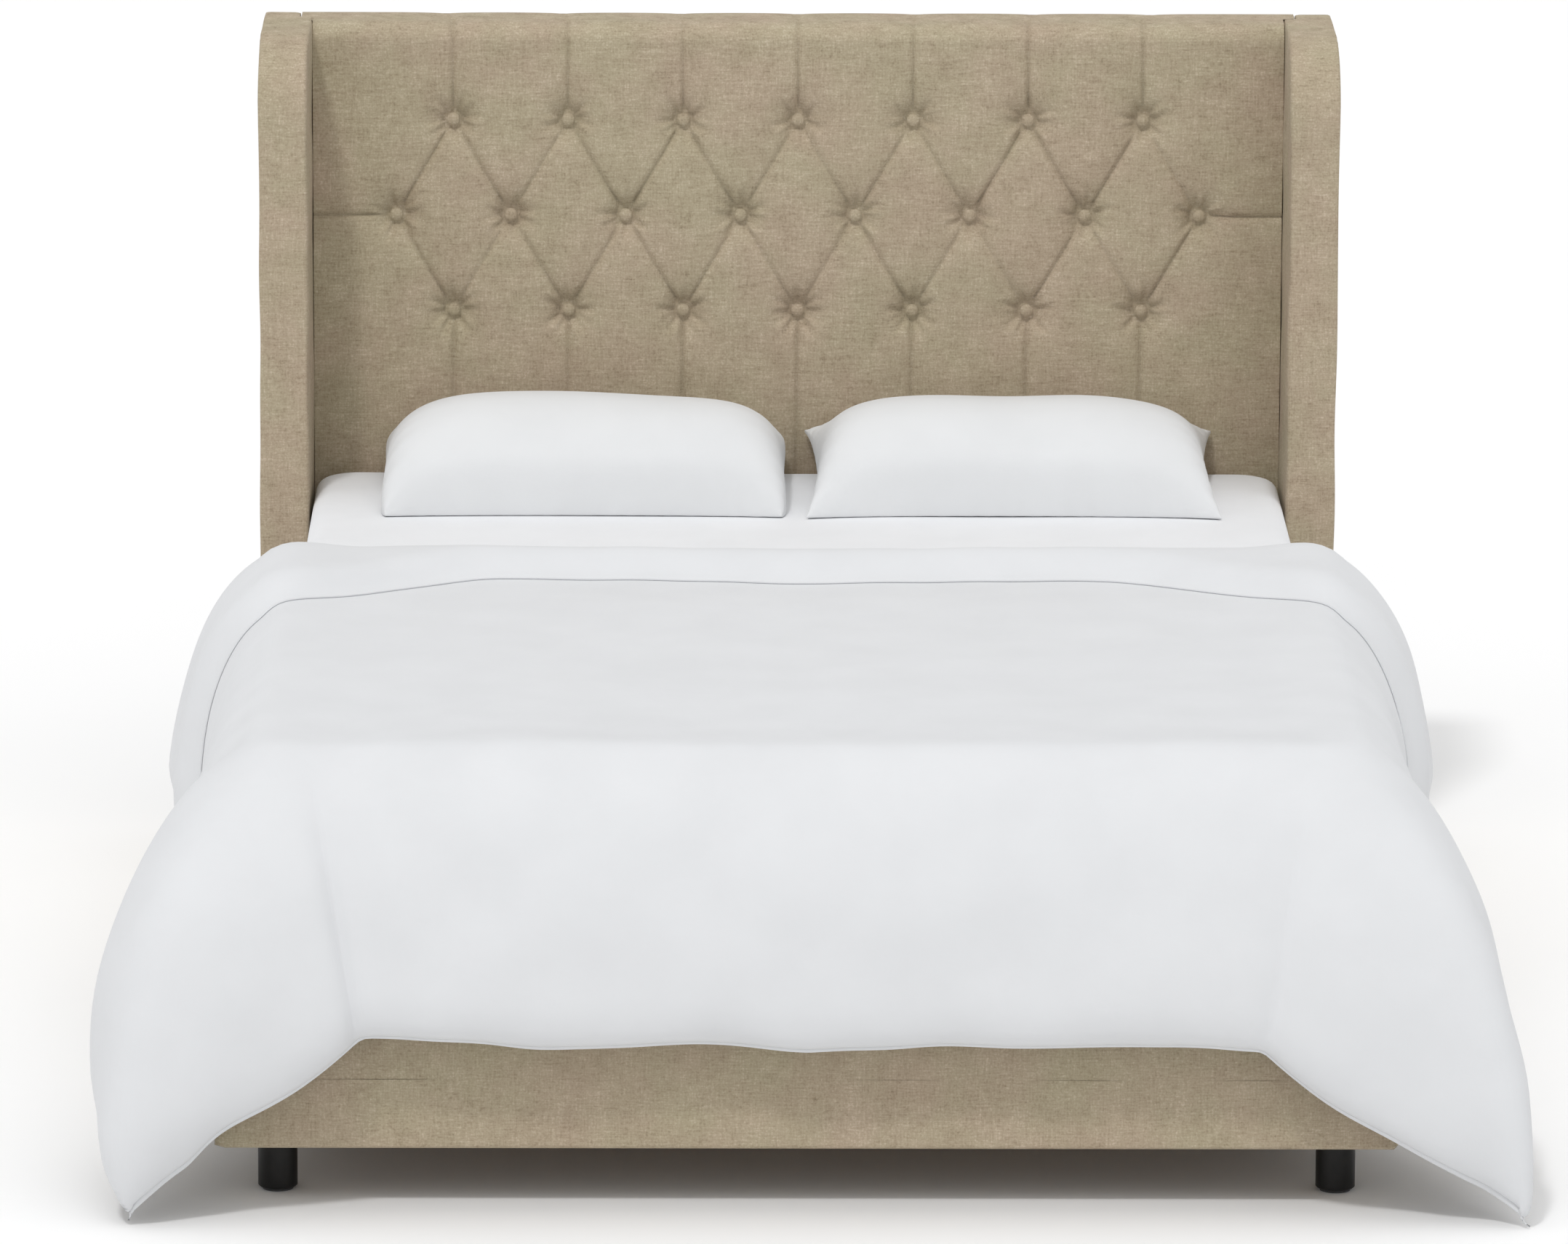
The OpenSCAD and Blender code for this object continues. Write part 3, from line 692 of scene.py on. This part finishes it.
def foot_rail_pad():
    """Linen and padding over the front, top, bottom and ends of the foot rail's board."""
    board_low, board_high = low("foot_rail"), high("foot_rail")
    slack, unevenness = 0.0004, 0.0008
    back_y = board_high[1] - 0.0003
    mid = np.array([0, 0, (RAIL_LOW_Z + RAIL_TOP_Z) / 2])
    half_x, half_z = RAIL_OUT_X, (RAIL_TOP_Z - RAIL_LOW_Z) / 2
    depth = back_y - FOOT_Y
    board_depth = back_y - board_low[1] + slack
    outer = slab_skin(half_x, half_z, 0, depth, corner=0.004, edge=0.010, step=0.016)
    front_face = outer[..., 2] > depth - 0.0005
    outer[..., 2] -= front_face * unevenness * (1 + ripple(outer, 0.16, 31))
    inner_x = board_high[0] + slack
    inner_z = half_z - (RAIL_TOP_Z - board_high[2]) + slack
    inner = outer * (inner_x / half_x, inner_z / half_z, 1)
    inner[..., 2] = np.minimum(outer[..., 2], board_depth)
    layers = []
    for layer in (outer, inner):
        placed = np.stack([layer[..., 0], back_y - layer[..., 2], layer[..., 1]], -1)
        layers.append(placed + mid)
    piece = capped("foot_rail_pad", *layers)
    dress(piece, "linen", "frame")
    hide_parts("foot_rail_cover", "foot_rail_foam")


# ------------------------ mattress and fitted sheet


def rounded_rect(half_x, half_y, radius, step):
    """Points round a rectangle with round corners, centred on the origin."""
    points = []
    for sx, sy, start in ((1, 1, 0), (-1, 1, 90), (-1, -1, 180), (1, -1, 270)):
        centre_x, centre_y = sx * (half_x - radius), sy * (half_y - radius)
        for i in range(9):
            a = math.radians(start + 90 * i / 8)
            points.append((centre_x + radius * math.cos(a), centre_y + radius * math.sin(a)))
    points.append(points[0])
    points = np.array(points)
    lengths = np.concatenate([[0], np.cumsum(np.linalg.norm(np.diff(points, axis=0), axis=1))])
    count = int(lengths[-1] / step)
    at = np.linspace(0, lengths[-1], count, endpoint=False)
    return np.stack([np.interp(at, lengths, points[:, i]) for i in (0, 1)], -1)


def slab_skin(half_x, half_y, low_z, high_z, corner, edge, step):
    """Rings of points up the side of a slab and in over its top to the middle."""
    rings = [(0.0, z) for z in np.linspace(low_z, high_z - edge, 10)]
    for a in quarter(6)[1:]:
        rings.append((edge * (1 - math.cos(a)), high_z - edge + edge * math.sin(a)))
    ring_gap, middle_w = 0.045, 0.06
    inset = edge
    while inset < min(half_x, half_y) - middle_w:
        inset += ring_gap
        rings.append((inset, high_z))
    base = rounded_rect(half_x, half_y, corner, step)
    rows = []
    for inset, z in rings:
        shrink = np.array([(half_x - inset) / half_x, (half_y - inset) / half_y])
        rows.append(np.column_stack([base * shrink, np.full(len(base), z)]))
    return np.array(rows)


def wrapped_faces(rows, columns, first=0):
    """Faces of a stack of closed rings whose first point has index first."""
    index = numbered(rows, columns, first)
    across = np.roll(index, -1, axis=1)
    return np.stack([index[:-1], across[:-1], across[1:], index[1:]], -1).reshape(-1, 4).tolist()


def capped(name, outer, inner):
    """Closed body between two matching stacks of rings, each closed at its last ring."""
    rows, columns = outer.shape[:2]
    count = rows * columns
    last = list(range((rows - 1) * columns, count))
    faces = wrapped_faces(rows, columns) + wrapped_faces(rows, columns, count)
    faces += joined(np.arange(columns), count)
    faces += [last, [count + i for i in last[::-1]]]
    return add_mesh(name, [*outer.reshape(-1, 3), *inner.reshape(-1, 3)], faces)


def mattress():
    """Mattress with taped edges and a quilted top and bottom."""
    box_low, box_high = low("mattress"), high("mattress")
    centre = (box_low + box_high) / 2
    inset, edge = 0.0015, 0.02
    tape_w, quilt_depth, quilt_turns = 0.006, 0.0018, 42
    half = (box_high - box_low) / 2 - inset
    upper = slab_skin(half[0], half[1], 0, half[2], corner=0.045, edge=edge, step=0.02)
    lower = upper * (1, 1, -1)
    skin = np.concatenate([lower[::-1], upper[1:]])
    tape = np.exp(-(((np.abs(skin[..., 2]) - half[2] + edge) / tape_w) ** 2))
    skin[..., :2] *= 1 - 0.0006 * (1 - tape[..., None])
    waves = np.cos(skin[..., 0] * quilt_turns) * np.cos(skin[..., 1] * quilt_turns)
    quilted = quilt_depth * (waves - 1)
    skin[..., 2] += np.sign(skin[..., 2]) * quilted * (np.abs(skin[..., 2]) > half[2] - 0.002)
    rows, columns = skin.shape[:2]
    verts = skin.reshape(-1, 3) + centre
    caps = [list(range(columns))[::-1], list(range((rows - 1) * columns, rows * columns))]
    piece = add_mesh("mattress_body", verts, wrapped_faces(rows, columns) + caps)
    dress(piece, "ticking", "mattress")
    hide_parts("mattress")


def fitted_sheet():
    """Stretched sheet with a gathered lower hem."""
    box_low, box_high = low("fitted_sheet"), high("fitted_sheet")
    centre = (box_low + box_high) / 2
    half = (box_high - box_low) / 2
    hem_z = box_low[2] + 0.004
    corner_w, gather_count, tuck, side_t, top_t = 0.13, 190, 0.0022, 0.0008, 0.0007
    outer = slab_skin(half[0], half[1], hem_z, box_high[2], corner=0.047, edge=0.028, step=0.011)
    outer[..., :2] += centre[:2]
    columns = outer.shape[1]
    drop = smoothstep(box_high[2] - 0.03, hem_z, outer[..., 2])
    around = np.arange(columns) / columns
    corner = np.zeros(columns)
    for x in (-1, 1):
        for y in (-1, 1):
            spot = np.array([centre[0] + x * half[0], centre[1] + y * half[1]])
            corner += np.exp(-((np.linalg.norm(outer[0, :, :2] - spot, axis=1) / corner_w) ** 2))
    gathers = np.sin(around * 2 * math.pi * gather_count) * (0.0004 + 0.0012 * corner)
    away = outer - (centre[0], centre[1], 0)
    away[..., 2] = 0
    away /= np.linalg.norm(away, axis=-1, keepdims=True)
    outer -= away * ((tuck - gathers) * drop)[..., None]
    outer[..., 2] -= 0.0004 * (1 + ripple(outer, 0.30, 5)) * (1 - drop)
    inner = outer - away * side_t
    inner[..., 2] -= top_t * (1 - drop)
    piece = capped("fitted_sheet_cloth", outer, inner)
    dress(piece, "sheet_cotton", "mattress")
    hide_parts("fitted_sheet")


# ------------------------ duvet


DUVET_LOW, DUVET_HIGH = low("duvet"), high("duvet")
# Thickness of one layer, and the height of its middle over the bed
FILL = 0.036
DUVET_TOP_Z = SHEET_TOP_Z + 0.001 + FILL / 2
# Where the duvet turns down, in plan, with the radius of its corners
SHOULDER_X = RAIL_OUT_X - 0.075
SHOULDER_Y = FOOT_Y + 0.040
CORNER_R = 0.075
# Head end, length on the bed, length that hangs, and width folded back in the middle
DUVET_HEAD_Y = DUVET_HIGH[1] - 0.022
TOP_LENGTH = DUVET_HEAD_Y - SHOULDER_Y
DROP = 0.42
FOLD = 0.080
# Base of the foot hem and tips of the corner cones
HEM_Y = FOOT_Y + 0.006
TIP_X = DUVET_HIGH[0] - 0.018
TIP_Y = DUVET_LOW[1] + 0.014
# Piped edge: width of the bead, half thickness of the stitched groove, and width over which it fills out
BEAD = 0.005
EDGE = 0.0012
EDGE_FILL_W = 0.045


def side_hem(t):
    """Hanging edge down the right side, from the foot cone at 0 to the head end at 1."""
    return curve_through([
        (TIP_X - 0.060, HEM_Y + 0.32, 0.200),
        (TIP_X - 0.100, HEM_Y + 0.49, 0.225),
        (TIP_X - 0.115, HEM_Y + 0.69, 0.250),
        (TIP_X - 0.100, HEM_Y + 0.94, 0.262),
        (TIP_X - 0.060, DUVET_HEAD_Y, 0.280),
    ], t)


def corner_x(side):
    """Where the foot drape ends and the corner cone begins, along the hem."""
    return np.where(side > 0, 0.622, 0.610)


def foot_hem(t, side):
    """Hanging edge across the foot, from the middle at 0 to the foot cone at 1."""
    hem = curve_through([
        (0.00, HEM_Y - 0.083, 0.244),
        (0.25, HEM_Y - 0.079, 0.249),
        (0.50, HEM_Y - 0.084, 0.245),
        (0.75, HEM_Y - 0.080, 0.247),
        (1.00, HEM_Y - 0.084, 0.243),
    ], t)
    hem[..., 0] *= corner_x(side)
    hem[..., 2] += 0.016 * (side < 0) * smoothstep(0.6, 1, t)
    return hem


def cone_hem(w, side):
    """Edge of the corner cone, from the foot at 0, down to its tip at 0.5, to the side at 1."""
    tip_x = TIP_X + 0.030 if side > 0 else TIP_X - 0.024
    start_x = float(corner_x(side))
    return curve_through([
        (start_x, HEM_Y - 0.084, 0.243 if side > 0 else 0.259),
        (start_x + 0.086, HEM_Y - 0.090, 0.170 if side > 0 else 0.186),
        (start_x + 0.186, HEM_Y - 0.096, 0.112 if side > 0 else 0.129),
        (tip_x - 0.083, HEM_Y - 0.102, 0.056 if side > 0 else 0.071),
        (tip_x, TIP_Y + 0.006, 0.019),
        (TIP_X + 0.006, HEM_Y + 0.02, 0.085),
        (TIP_X - 0.004, HEM_Y + 0.12, 0.140),
        (TIP_X - 0.028, HEM_Y + 0.22, 0.175),
        (TIP_X - 0.060, HEM_Y + 0.32, 0.200),
    ], w)


def hanging(shoulder, outward, hem, t, roll, belly):
    """Point on a drape that leaves the shoulder level, rolls over and falls to its hem."""
    t = t[..., None]
    fall = hem - shoulder
    level = fall * (1, 1, 0)
    one = shoulder + outward * roll
    two = shoulder + level * belly + outward * roll + fall * (0, 0, 0.45)
    rest = 1 - t
    return rest**3 * shoulder + 3 * t * rest**2 * one + 3 * t**2 * rest * two + t**3 * hem


def duvet_surface(u, v):
    """Middle of the duvet at u across and v from its head end towards its foot, laid on the bed.

    Past the flat middle, t runs from its border at 0 to the hem at 1, and w from foot at 0 to side at 1.
    """
    side = np.where(u < 0, -1.0, 1.0)
    a = np.abs(u)
    flat_x, flat_y = SHOULDER_X - CORNER_R, TOP_LENGTH - CORNER_R
    reach = DROP + CORNER_R
    p = np.maximum((a - flat_x) / reach, 0)
    q = np.maximum((v - flat_y) / reach, 0)
    t = np.maximum(p, q)
    safe = np.maximum(t, 1e-9)
    w = np.where(p < q, 0.5 * p / safe, 1 - 0.5 * q / safe)
    in_cone = (p > 0) & (q > 0)
    w = np.where(in_cone, w, np.where(p > 0, 1.0, 0.0))
    angle = w * math.pi / 2
    outward = np.stack([np.sin(angle), -np.cos(angle), np.zeros_like(angle)], -1)
    base_x = np.minimum(a, flat_x)
    base_y = DUVET_HEAD_Y - np.minimum(v, flat_y)
    start = np.stack([base_x, base_y, np.full_like(a, DUVET_TOP_Z)], -1)
    shoulder = start + outward * CORNER_R
    hem_side = side_hem(1 - np.clip(v / flat_y, 0, 1))
    hem_foot = foot_hem(np.clip(a / flat_x, 0, 1), side)
    hem_cone = np.where((side > 0)[..., None], cone_hem(w, 1), cone_hem(w, -1))
    hem = np.where(in_cone[..., None], hem_cone, np.where((p > 0)[..., None], hem_side, hem_foot))
    flat_t = CORNER_R / reach
    along = np.clip((t - flat_t) / (1 - flat_t), 0, 1)
    cone = np.sin(w * math.pi)
    full = np.where(side < 0, 1.6, 1.0) * cone
    roll = (0.076 + 0.034 * full)[..., None]
    belly = (0.50 + 0.16 * full)[..., None]
    draped = hanging(shoulder, outward, hem, along, roll, belly)
    level = start + outward * (t * reach)[..., None]
    point = np.where((t > flat_t)[..., None], draped, level)
    edge_in = np.minimum(np.maximum(SHOULDER_X - a, 0), np.maximum(TOP_LENGTH - v, 0))
    ridge, ridge_w = 0.008, 0.07
    point[..., 2] += ridge * np.exp(-((edge_in / ridge_w) ** 2)) * (t <= flat_t + 0.08)
    point[..., 0] *= side
    return point


def corner_crease(u, v):
    """Strength of the crease between the foot drape and a corner cone."""
    flat_x, flat_y = SHOULDER_X - CORNER_R, TOP_LENGTH - CORNER_R
    down = (v - flat_y) / (DROP + CORNER_R)
    line = flat_x + 0.012 + 0.020 * (1 - down)
    width = np.where(u > 0, 0.024, 0.017)
    firm = np.where(u > 0, 0.20, 0.34)
    return firm * np.exp(-(((np.abs(u) - line) / width) ** 2)) * smoothstep(0.18, 0.85, down)


def edge_half(from_edge, full, taper, bead=0.0020):
    """Half thickness near an edge: a piped bead, a stitched groove, then the filling."""
    piping = bead * np.sqrt(np.clip(1 - ((from_edge - BEAD / 2) / (BEAD / 2 + 0.0004)) ** 2, 0.05, 1))
    swell = np.clip((from_edge - BEAD) / taper, 0, 1)
    filled = EDGE + (full - EDGE) * np.sqrt(1 - (1 - swell) ** 2)
    return np.where(from_edge < BEAD, np.maximum(piping, EDGE), filled)


def spaced(start, end, step, fine_start=False, scale=1.0):
    """Values from start to end, close together at the end, and at the start if asked for."""
    fine = np.array([0, 0.0008, 0.0025, 0.0042, 0.005, 0.0062, 0.008, 0.011, 0.015, 0.020]) * scale
    inner_low = start + (fine[-1] + step / 2 if fine_start else 0)
    inner_high = end - (fine[-1] + step / 2)
    parts = [np.linspace(inner_low, inner_high, int((inner_high - inner_low) / step) + 1)]
    if fine_start:
        parts.insert(0, start + fine)
    return np.concatenate(parts + [end - fine[::-1]])


def read_line(line, old, wanted):
    """Reads a line of points, given at the places old, at the places wanted."""
    return np.stack([np.interp(wanted, old, line[:, k]) for k in range(3)], -1)


def read_columns(grid, old_v, wanted):
    """Reads each column of a grid at its own places along v."""
    columns = [read_line(grid[:, j], old_v, wanted[:, j]) for j in range(grid.shape[1])]
    return np.stack(columns, 1)


def resampled(grid, old_u, old_v, new_u, new_v):
    """Reads a grid of points at new places along both of its directions."""
    across = np.stack([read_line(row, old_u, new_u) for row in grid])
    return read_columns(across, old_v, np.tile(new_v[:, None], len(new_u)))


def outward_normals(body):
    """Normals of the duvet's middle, on the side that faces up over the bed."""
    normal = -grid_normals(body)
    rows, columns = body.shape[:2]
    return normal * np.sign(normal[rows // 3, columns // 2, 2])


def duvet_body(half_u, length, step):
    """Swollen middle surface of the duvet on an even grid, with the grid's places."""
    u = np.linspace(-half_u, half_u, int(2 * half_u / step) + 1)
    v = np.linspace(0, length, int(length / step) + 1)
    body = relax(duvet_surface(*np.meshgrid(u, v)), 8)
    drape = smoothstep(DUVET_TOP_Z - 0.02, 0.30, body[..., 2])
    outside = outward_normals(body)
    clear_of_sheet = 0.0024 * (1 - drape)
    swell = 0.0035 * ripple(body, 0.36, 41) + 0.0016 * ripple(body, 0.15, 42)
    body += outside * (swell * (0.45 + drape) + clear_of_sheet)[..., None]
    return body, u, v


def folded_edge(last_half, first_half, last, first, headward):
    """Rings and half thicknesses of the turn between the folded layer and the layer beneath it."""
    turn_r = (last - first) * 0.5
    radius = np.linalg.norm(turn_r, axis=-1, keepdims=True)
    rings, halves = [], []
    for i in range(1, 8):
        a = math.pi * (8 - i) / 8
        rings.append(first + turn_r * (1 - math.cos(a)) + headward * radius * math.sin(a))
        halves.append(last_half + (first_half - last_half) * i / 8)
    return rings, halves


def duvet():
    """Puffy duvet: laid over the bed, folded back at its head end, its corners hanging in cones."""
    step = 0.010
    half_u, length = SHOULDER_X + DROP, TOP_LENGTH + DROP
    body, even_u, even_v = duvet_body(half_u, length, step)
    u = spaced(-half_u, half_u, step, fine_start=True)
    v = spaced(0, length, step)
    body = resampled(body, even_u, even_v, u, v)
    outside = outward_normals(body)
    from_side = (half_u - np.abs(u))[None, :]
    from_foot = (length - v)[:, None]
    # Half thickness of the layer on the bed, thinner under the fold and down the sides
    under_fold = 1 - smoothstep(FOLD + 0.005, FOLD + 0.20, v)[:, None]
    hanging_side = smoothstep(SHOULDER_X, half_u, np.abs(u))[None, :]
    on_bed = (0.0175 - 0.0035 * under_fold) * (1 - 0.12 * hanging_side)
    side_edge = edge_half(from_side, on_bed, EDGE_FILL_W)
    lower = np.minimum(side_edge, edge_half(from_foot, on_bed, EDGE_FILL_W))
    lower = lower * (1 - corner_crease(u[None, :], v[:, None]))
    middle = body + outside * (lower - FILL / 2)[..., None]
    # Layer folded back over the head end, wider towards the sides
    fold_w = FOLD + 0.215 * smoothstep(0.44, 0.82, np.abs(u))
    fold_w = fold_w + 0.006 * ripple(body[0] * (1, 0, 0), 0.8, 44, 5)
    share = spaced(0.02, 1, step / FOLD, scale=1 / FOLD)[::-1]
    fold_v = share[:, None] * fold_w[None, :]
    from_free = fold_w[None, :] - fold_v
    beneath = read_columns(np.repeat(lower[..., None], 3, -1), v, fold_v)[..., 0]
    fold_full = 0.0036 + 0.0140 * smoothstep(0, 0.085, from_free)
    free_edge = edge_half(from_free, fold_full, 0.05, 0.0010)
    upper = np.minimum(edge_half(from_side, fold_full, EDGE_FILL_W), free_edge)
    lift = 2 * beneath + upper + 0.0004 - FILL / 2
    lying = read_columns(body, v, fold_v) + read_columns(outside, v, fold_v) * lift[..., None]
    head = body[0] - outside[0] * (FILL / 2 - lower[0])[:, None]
    headward = body[0] - body[2]
    headward /= np.linalg.norm(headward, axis=-1, keepdims=True)
    curl, curl_half = folded_edge(upper[-1], lower[0], lying[-1], head, headward)
    middle = np.concatenate([lying, np.array(curl), middle])
    half = np.concatenate([upper, np.array(curl_half), lower])
    piece = quilt("duvet_quilt", middle, half)
    dress(piece, "duvet_cotton", "duvet")
    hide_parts("duvet")


# ------------------------ pillows


def eased(count):
    """Values from -1 to 1, closer together at the ends."""
    return np.sin(np.linspace(-1, 1, count) * math.pi / 2)


def settle(heights, floor_z, soft):
    """Lifts what would sink through the floor, easing towards it."""
    gap, far = (heights - floor_z) / soft, 20
    return floor_z + soft * np.where(gap > far, gap, np.log1p(np.exp(np.minimum(gap, far))))


def pillow(side):
    """Plump pillow: its front seam low on the sheet, its back seam and corners raised."""
    name = hand(side)
    box_low, box_high = low(f"pillow_{name}"), high(f"pillow_{name}")
    half = (box_high - box_low) / 2
    centre = (box_high + box_low) / 2
    floor_z = SHEET_TOP_Z + 0.0003
    seam, gather_depth, gather_w, seam_reach = 0.0018, 0.0016, 0.034, 0.10
    # The left pillow is fuller at its ends and has blunter corners than the right one.
    waist, blunt, ear, taper = (0.030, 0.045, 0.015, 1.5) if side < 0 else (0.060, 0.0, 0.028, 2.7)
    gx, gy = np.meshgrid(eased(129), eased(81))
    corner = blunt * gx**6 * gy**6
    x = gx * (1 - waist * (1 - gy**2) * gx**2 - corner) * half[0]
    y = gy * (1 - 0.050 * (1 - gx**2) * gy**2 - corner) * half[1]
    y += 0.012 * smoothstep(0.72, 1.0, -gy) * (1 - gx**6)
    backward = smoothstep(-0.3, 1, gy)
    seam_z = floor_z + 0.0019 + 0.032 * smoothstep(-1, 1, gy) + ear * np.abs(gx) ** 3 * backward
    power = 5.0 - taper * backward
    front = 0.22 * (1 - smoothstep(-0.7, -0.1, gy))
    rise = (1 - np.abs(gx) ** power) ** (0.36 + 0.22 * backward)
    rise *= (1 - np.abs(gy) ** 2.3) ** (0.52 + front)
    rise *= 1 - 0.26 * smoothstep(-0.2, 1, gy)
    flat = np.stack([x, y, 0 * x], -1)
    along = np.where(np.abs(gx) > np.abs(gy), y, x)
    near_seam = np.exp(-(1 - np.maximum(np.abs(gx), np.abs(gy))) / seam_reach) * (rise > 0.05)
    wander = 3 * ripple(flat, 0.2, 63 + side)
    gathers = gather_depth * np.sin(along * 2 * math.pi / gather_w + wander) * near_seam
    crest = (box_high[2] - floor_z - 0.026) * (1 + 0.022 * ripple(flat, 0.26, 60 + side))
    upper = np.stack([x, y - 0.010 * rise * (1 - gy), seam_z + seam + rise * crest + gathers], -1)
    lower = np.stack([x, y, settle(seam_z - seam - rise * 0.075 + gathers, floor_z, 0.003)], -1)
    upper[..., 2] = np.minimum(upper[..., 2], box_high[2] - 0.001)
    for layer in (upper, lower):
        layer[..., :2] += centre[:2]
    piece = banded(f"pillow_case_{name}", upper, lower)
    dress(piece, "pillow_cotton", f"pillow_{name}")
    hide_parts(f"pillow_{name}")


# ------------------------ stage


def floor():
    """Pale round studio floor. It rises gently far out, and the key light reaches all of it."""
    flat_r, cove_r, rise_run, segments = 44.0, 60.0, 45.0, 96
    slope = math.radians(12)
    turn = [slope * i / 10 for i in range(11)]
    profile = [(2.0, 0.0), (12.0, 0.0), (28.0, 0.0)]
    profile += [(flat_r + cove_r * math.sin(a), cove_r * (1 - math.cos(a))) for a in turn]
    profile.append((profile[-1][0] + rise_run, profile[-1][1] + rise_run * math.tan(slope)))
    around = [2 * math.pi * i / segments for i in range(segments)]
    rings = np.array([[(r * math.cos(a), r * math.sin(a), z) for a in around] for r, z in profile])
    centre = list(range(segments))
    piece = add_mesh("studio_floor", rings.reshape(-1, 3), wrapped_faces(*rings.shape[:2]) + [centre])
    p = Paint("studio_floor")
    tone = p.noise(0.8, 2.0)
    colour = p.ramp(tone, [(0.3, (0.93, 0.93, 0.93)), (0.7, (0.95, 0.95, 0.95))])
    p.finish(colour, 0.9)
    p.shader.inputs["Specular IOR Level"].default_value = 0.1
    piece.data.materials.append(p.material)


def world():
    """Even white surroundings."""
    scene_world = bpy.data.worlds.new("studio")
    bpy.context.scene.world = scene_world
    scene_world.use_nodes = True
    back = scene_world.node_tree.nodes["Background"]
    back.inputs["Color"].default_value = (1.0, 1.0, 1.0, 1)
    back.inputs["Strength"].default_value = 0.67


def sun(name, azimuth, height, spread, strength):
    """Distant soft light: azimuth from the bed's foot towards its left, height and spread in degrees."""
    light = bpy.data.lights.new(name, "SUN")
    light.energy = strength
    light.angle = math.radians(spread)
    holder = bpy.data.objects.new(name, light)
    a, h = math.radians(azimuth), math.radians(height)
    towards = Vector((math.sin(a) * math.cos(h), math.cos(a) * math.cos(h), -math.sin(h)))
    holder.rotation_euler = towards.to_track_quat("-Z", "Y").to_euler()
    holder.location = -4 * towards
    bpy.context.scene.collection.objects.link(holder)


def lights():
    """A crisp key light from the foot's left, and a broad fill from above."""
    sun("key", 21, 57, 5, 0.86)
    sun("fill", -10, 70, 60, 0.64)


def camera():
    """Long lens in front of the foot, at the angle the photo was taken from."""
    lens = bpy.data.cameras.new("camera")
    lens.sensor_width = 36.0
    lens.lens = 239.5
    lens.clip_end = 200.0
    holder = bpy.data.objects.new("camera", lens)
    aside, distance, height = -0.144, 16.007, 3.9565
    holder.location = (aside, FACE_Y - distance, height)
    pitch, yaw, roll = 0.2208, 0.0078, 0.0038
    turned = Matrix.Rotation(-yaw, 4, "Z") @ Matrix.Rotation(math.pi / 2 - pitch, 4, "X")
    holder.rotation_euler = (turned @ Matrix.Rotation(roll, 4, "Z")).to_euler()
    bpy.context.scene.collection.objects.link(holder)
    bpy.context.scene.camera = holder


paint_cad_nodes()
headboard_cover()
for wing_side in (-1, 1):
    wing(wing_side)
for rail_side in (-1, 1):
    side_rail_pad(rail_side)
foot_rail_pad()
mattress()
fitted_sheet()
duvet()
for pillow_side in (-1, 1):
    pillow(pillow_side)
floor()
world()
lights()
camera()
bpy.context.scene.view_settings.view_transform = "Standard"
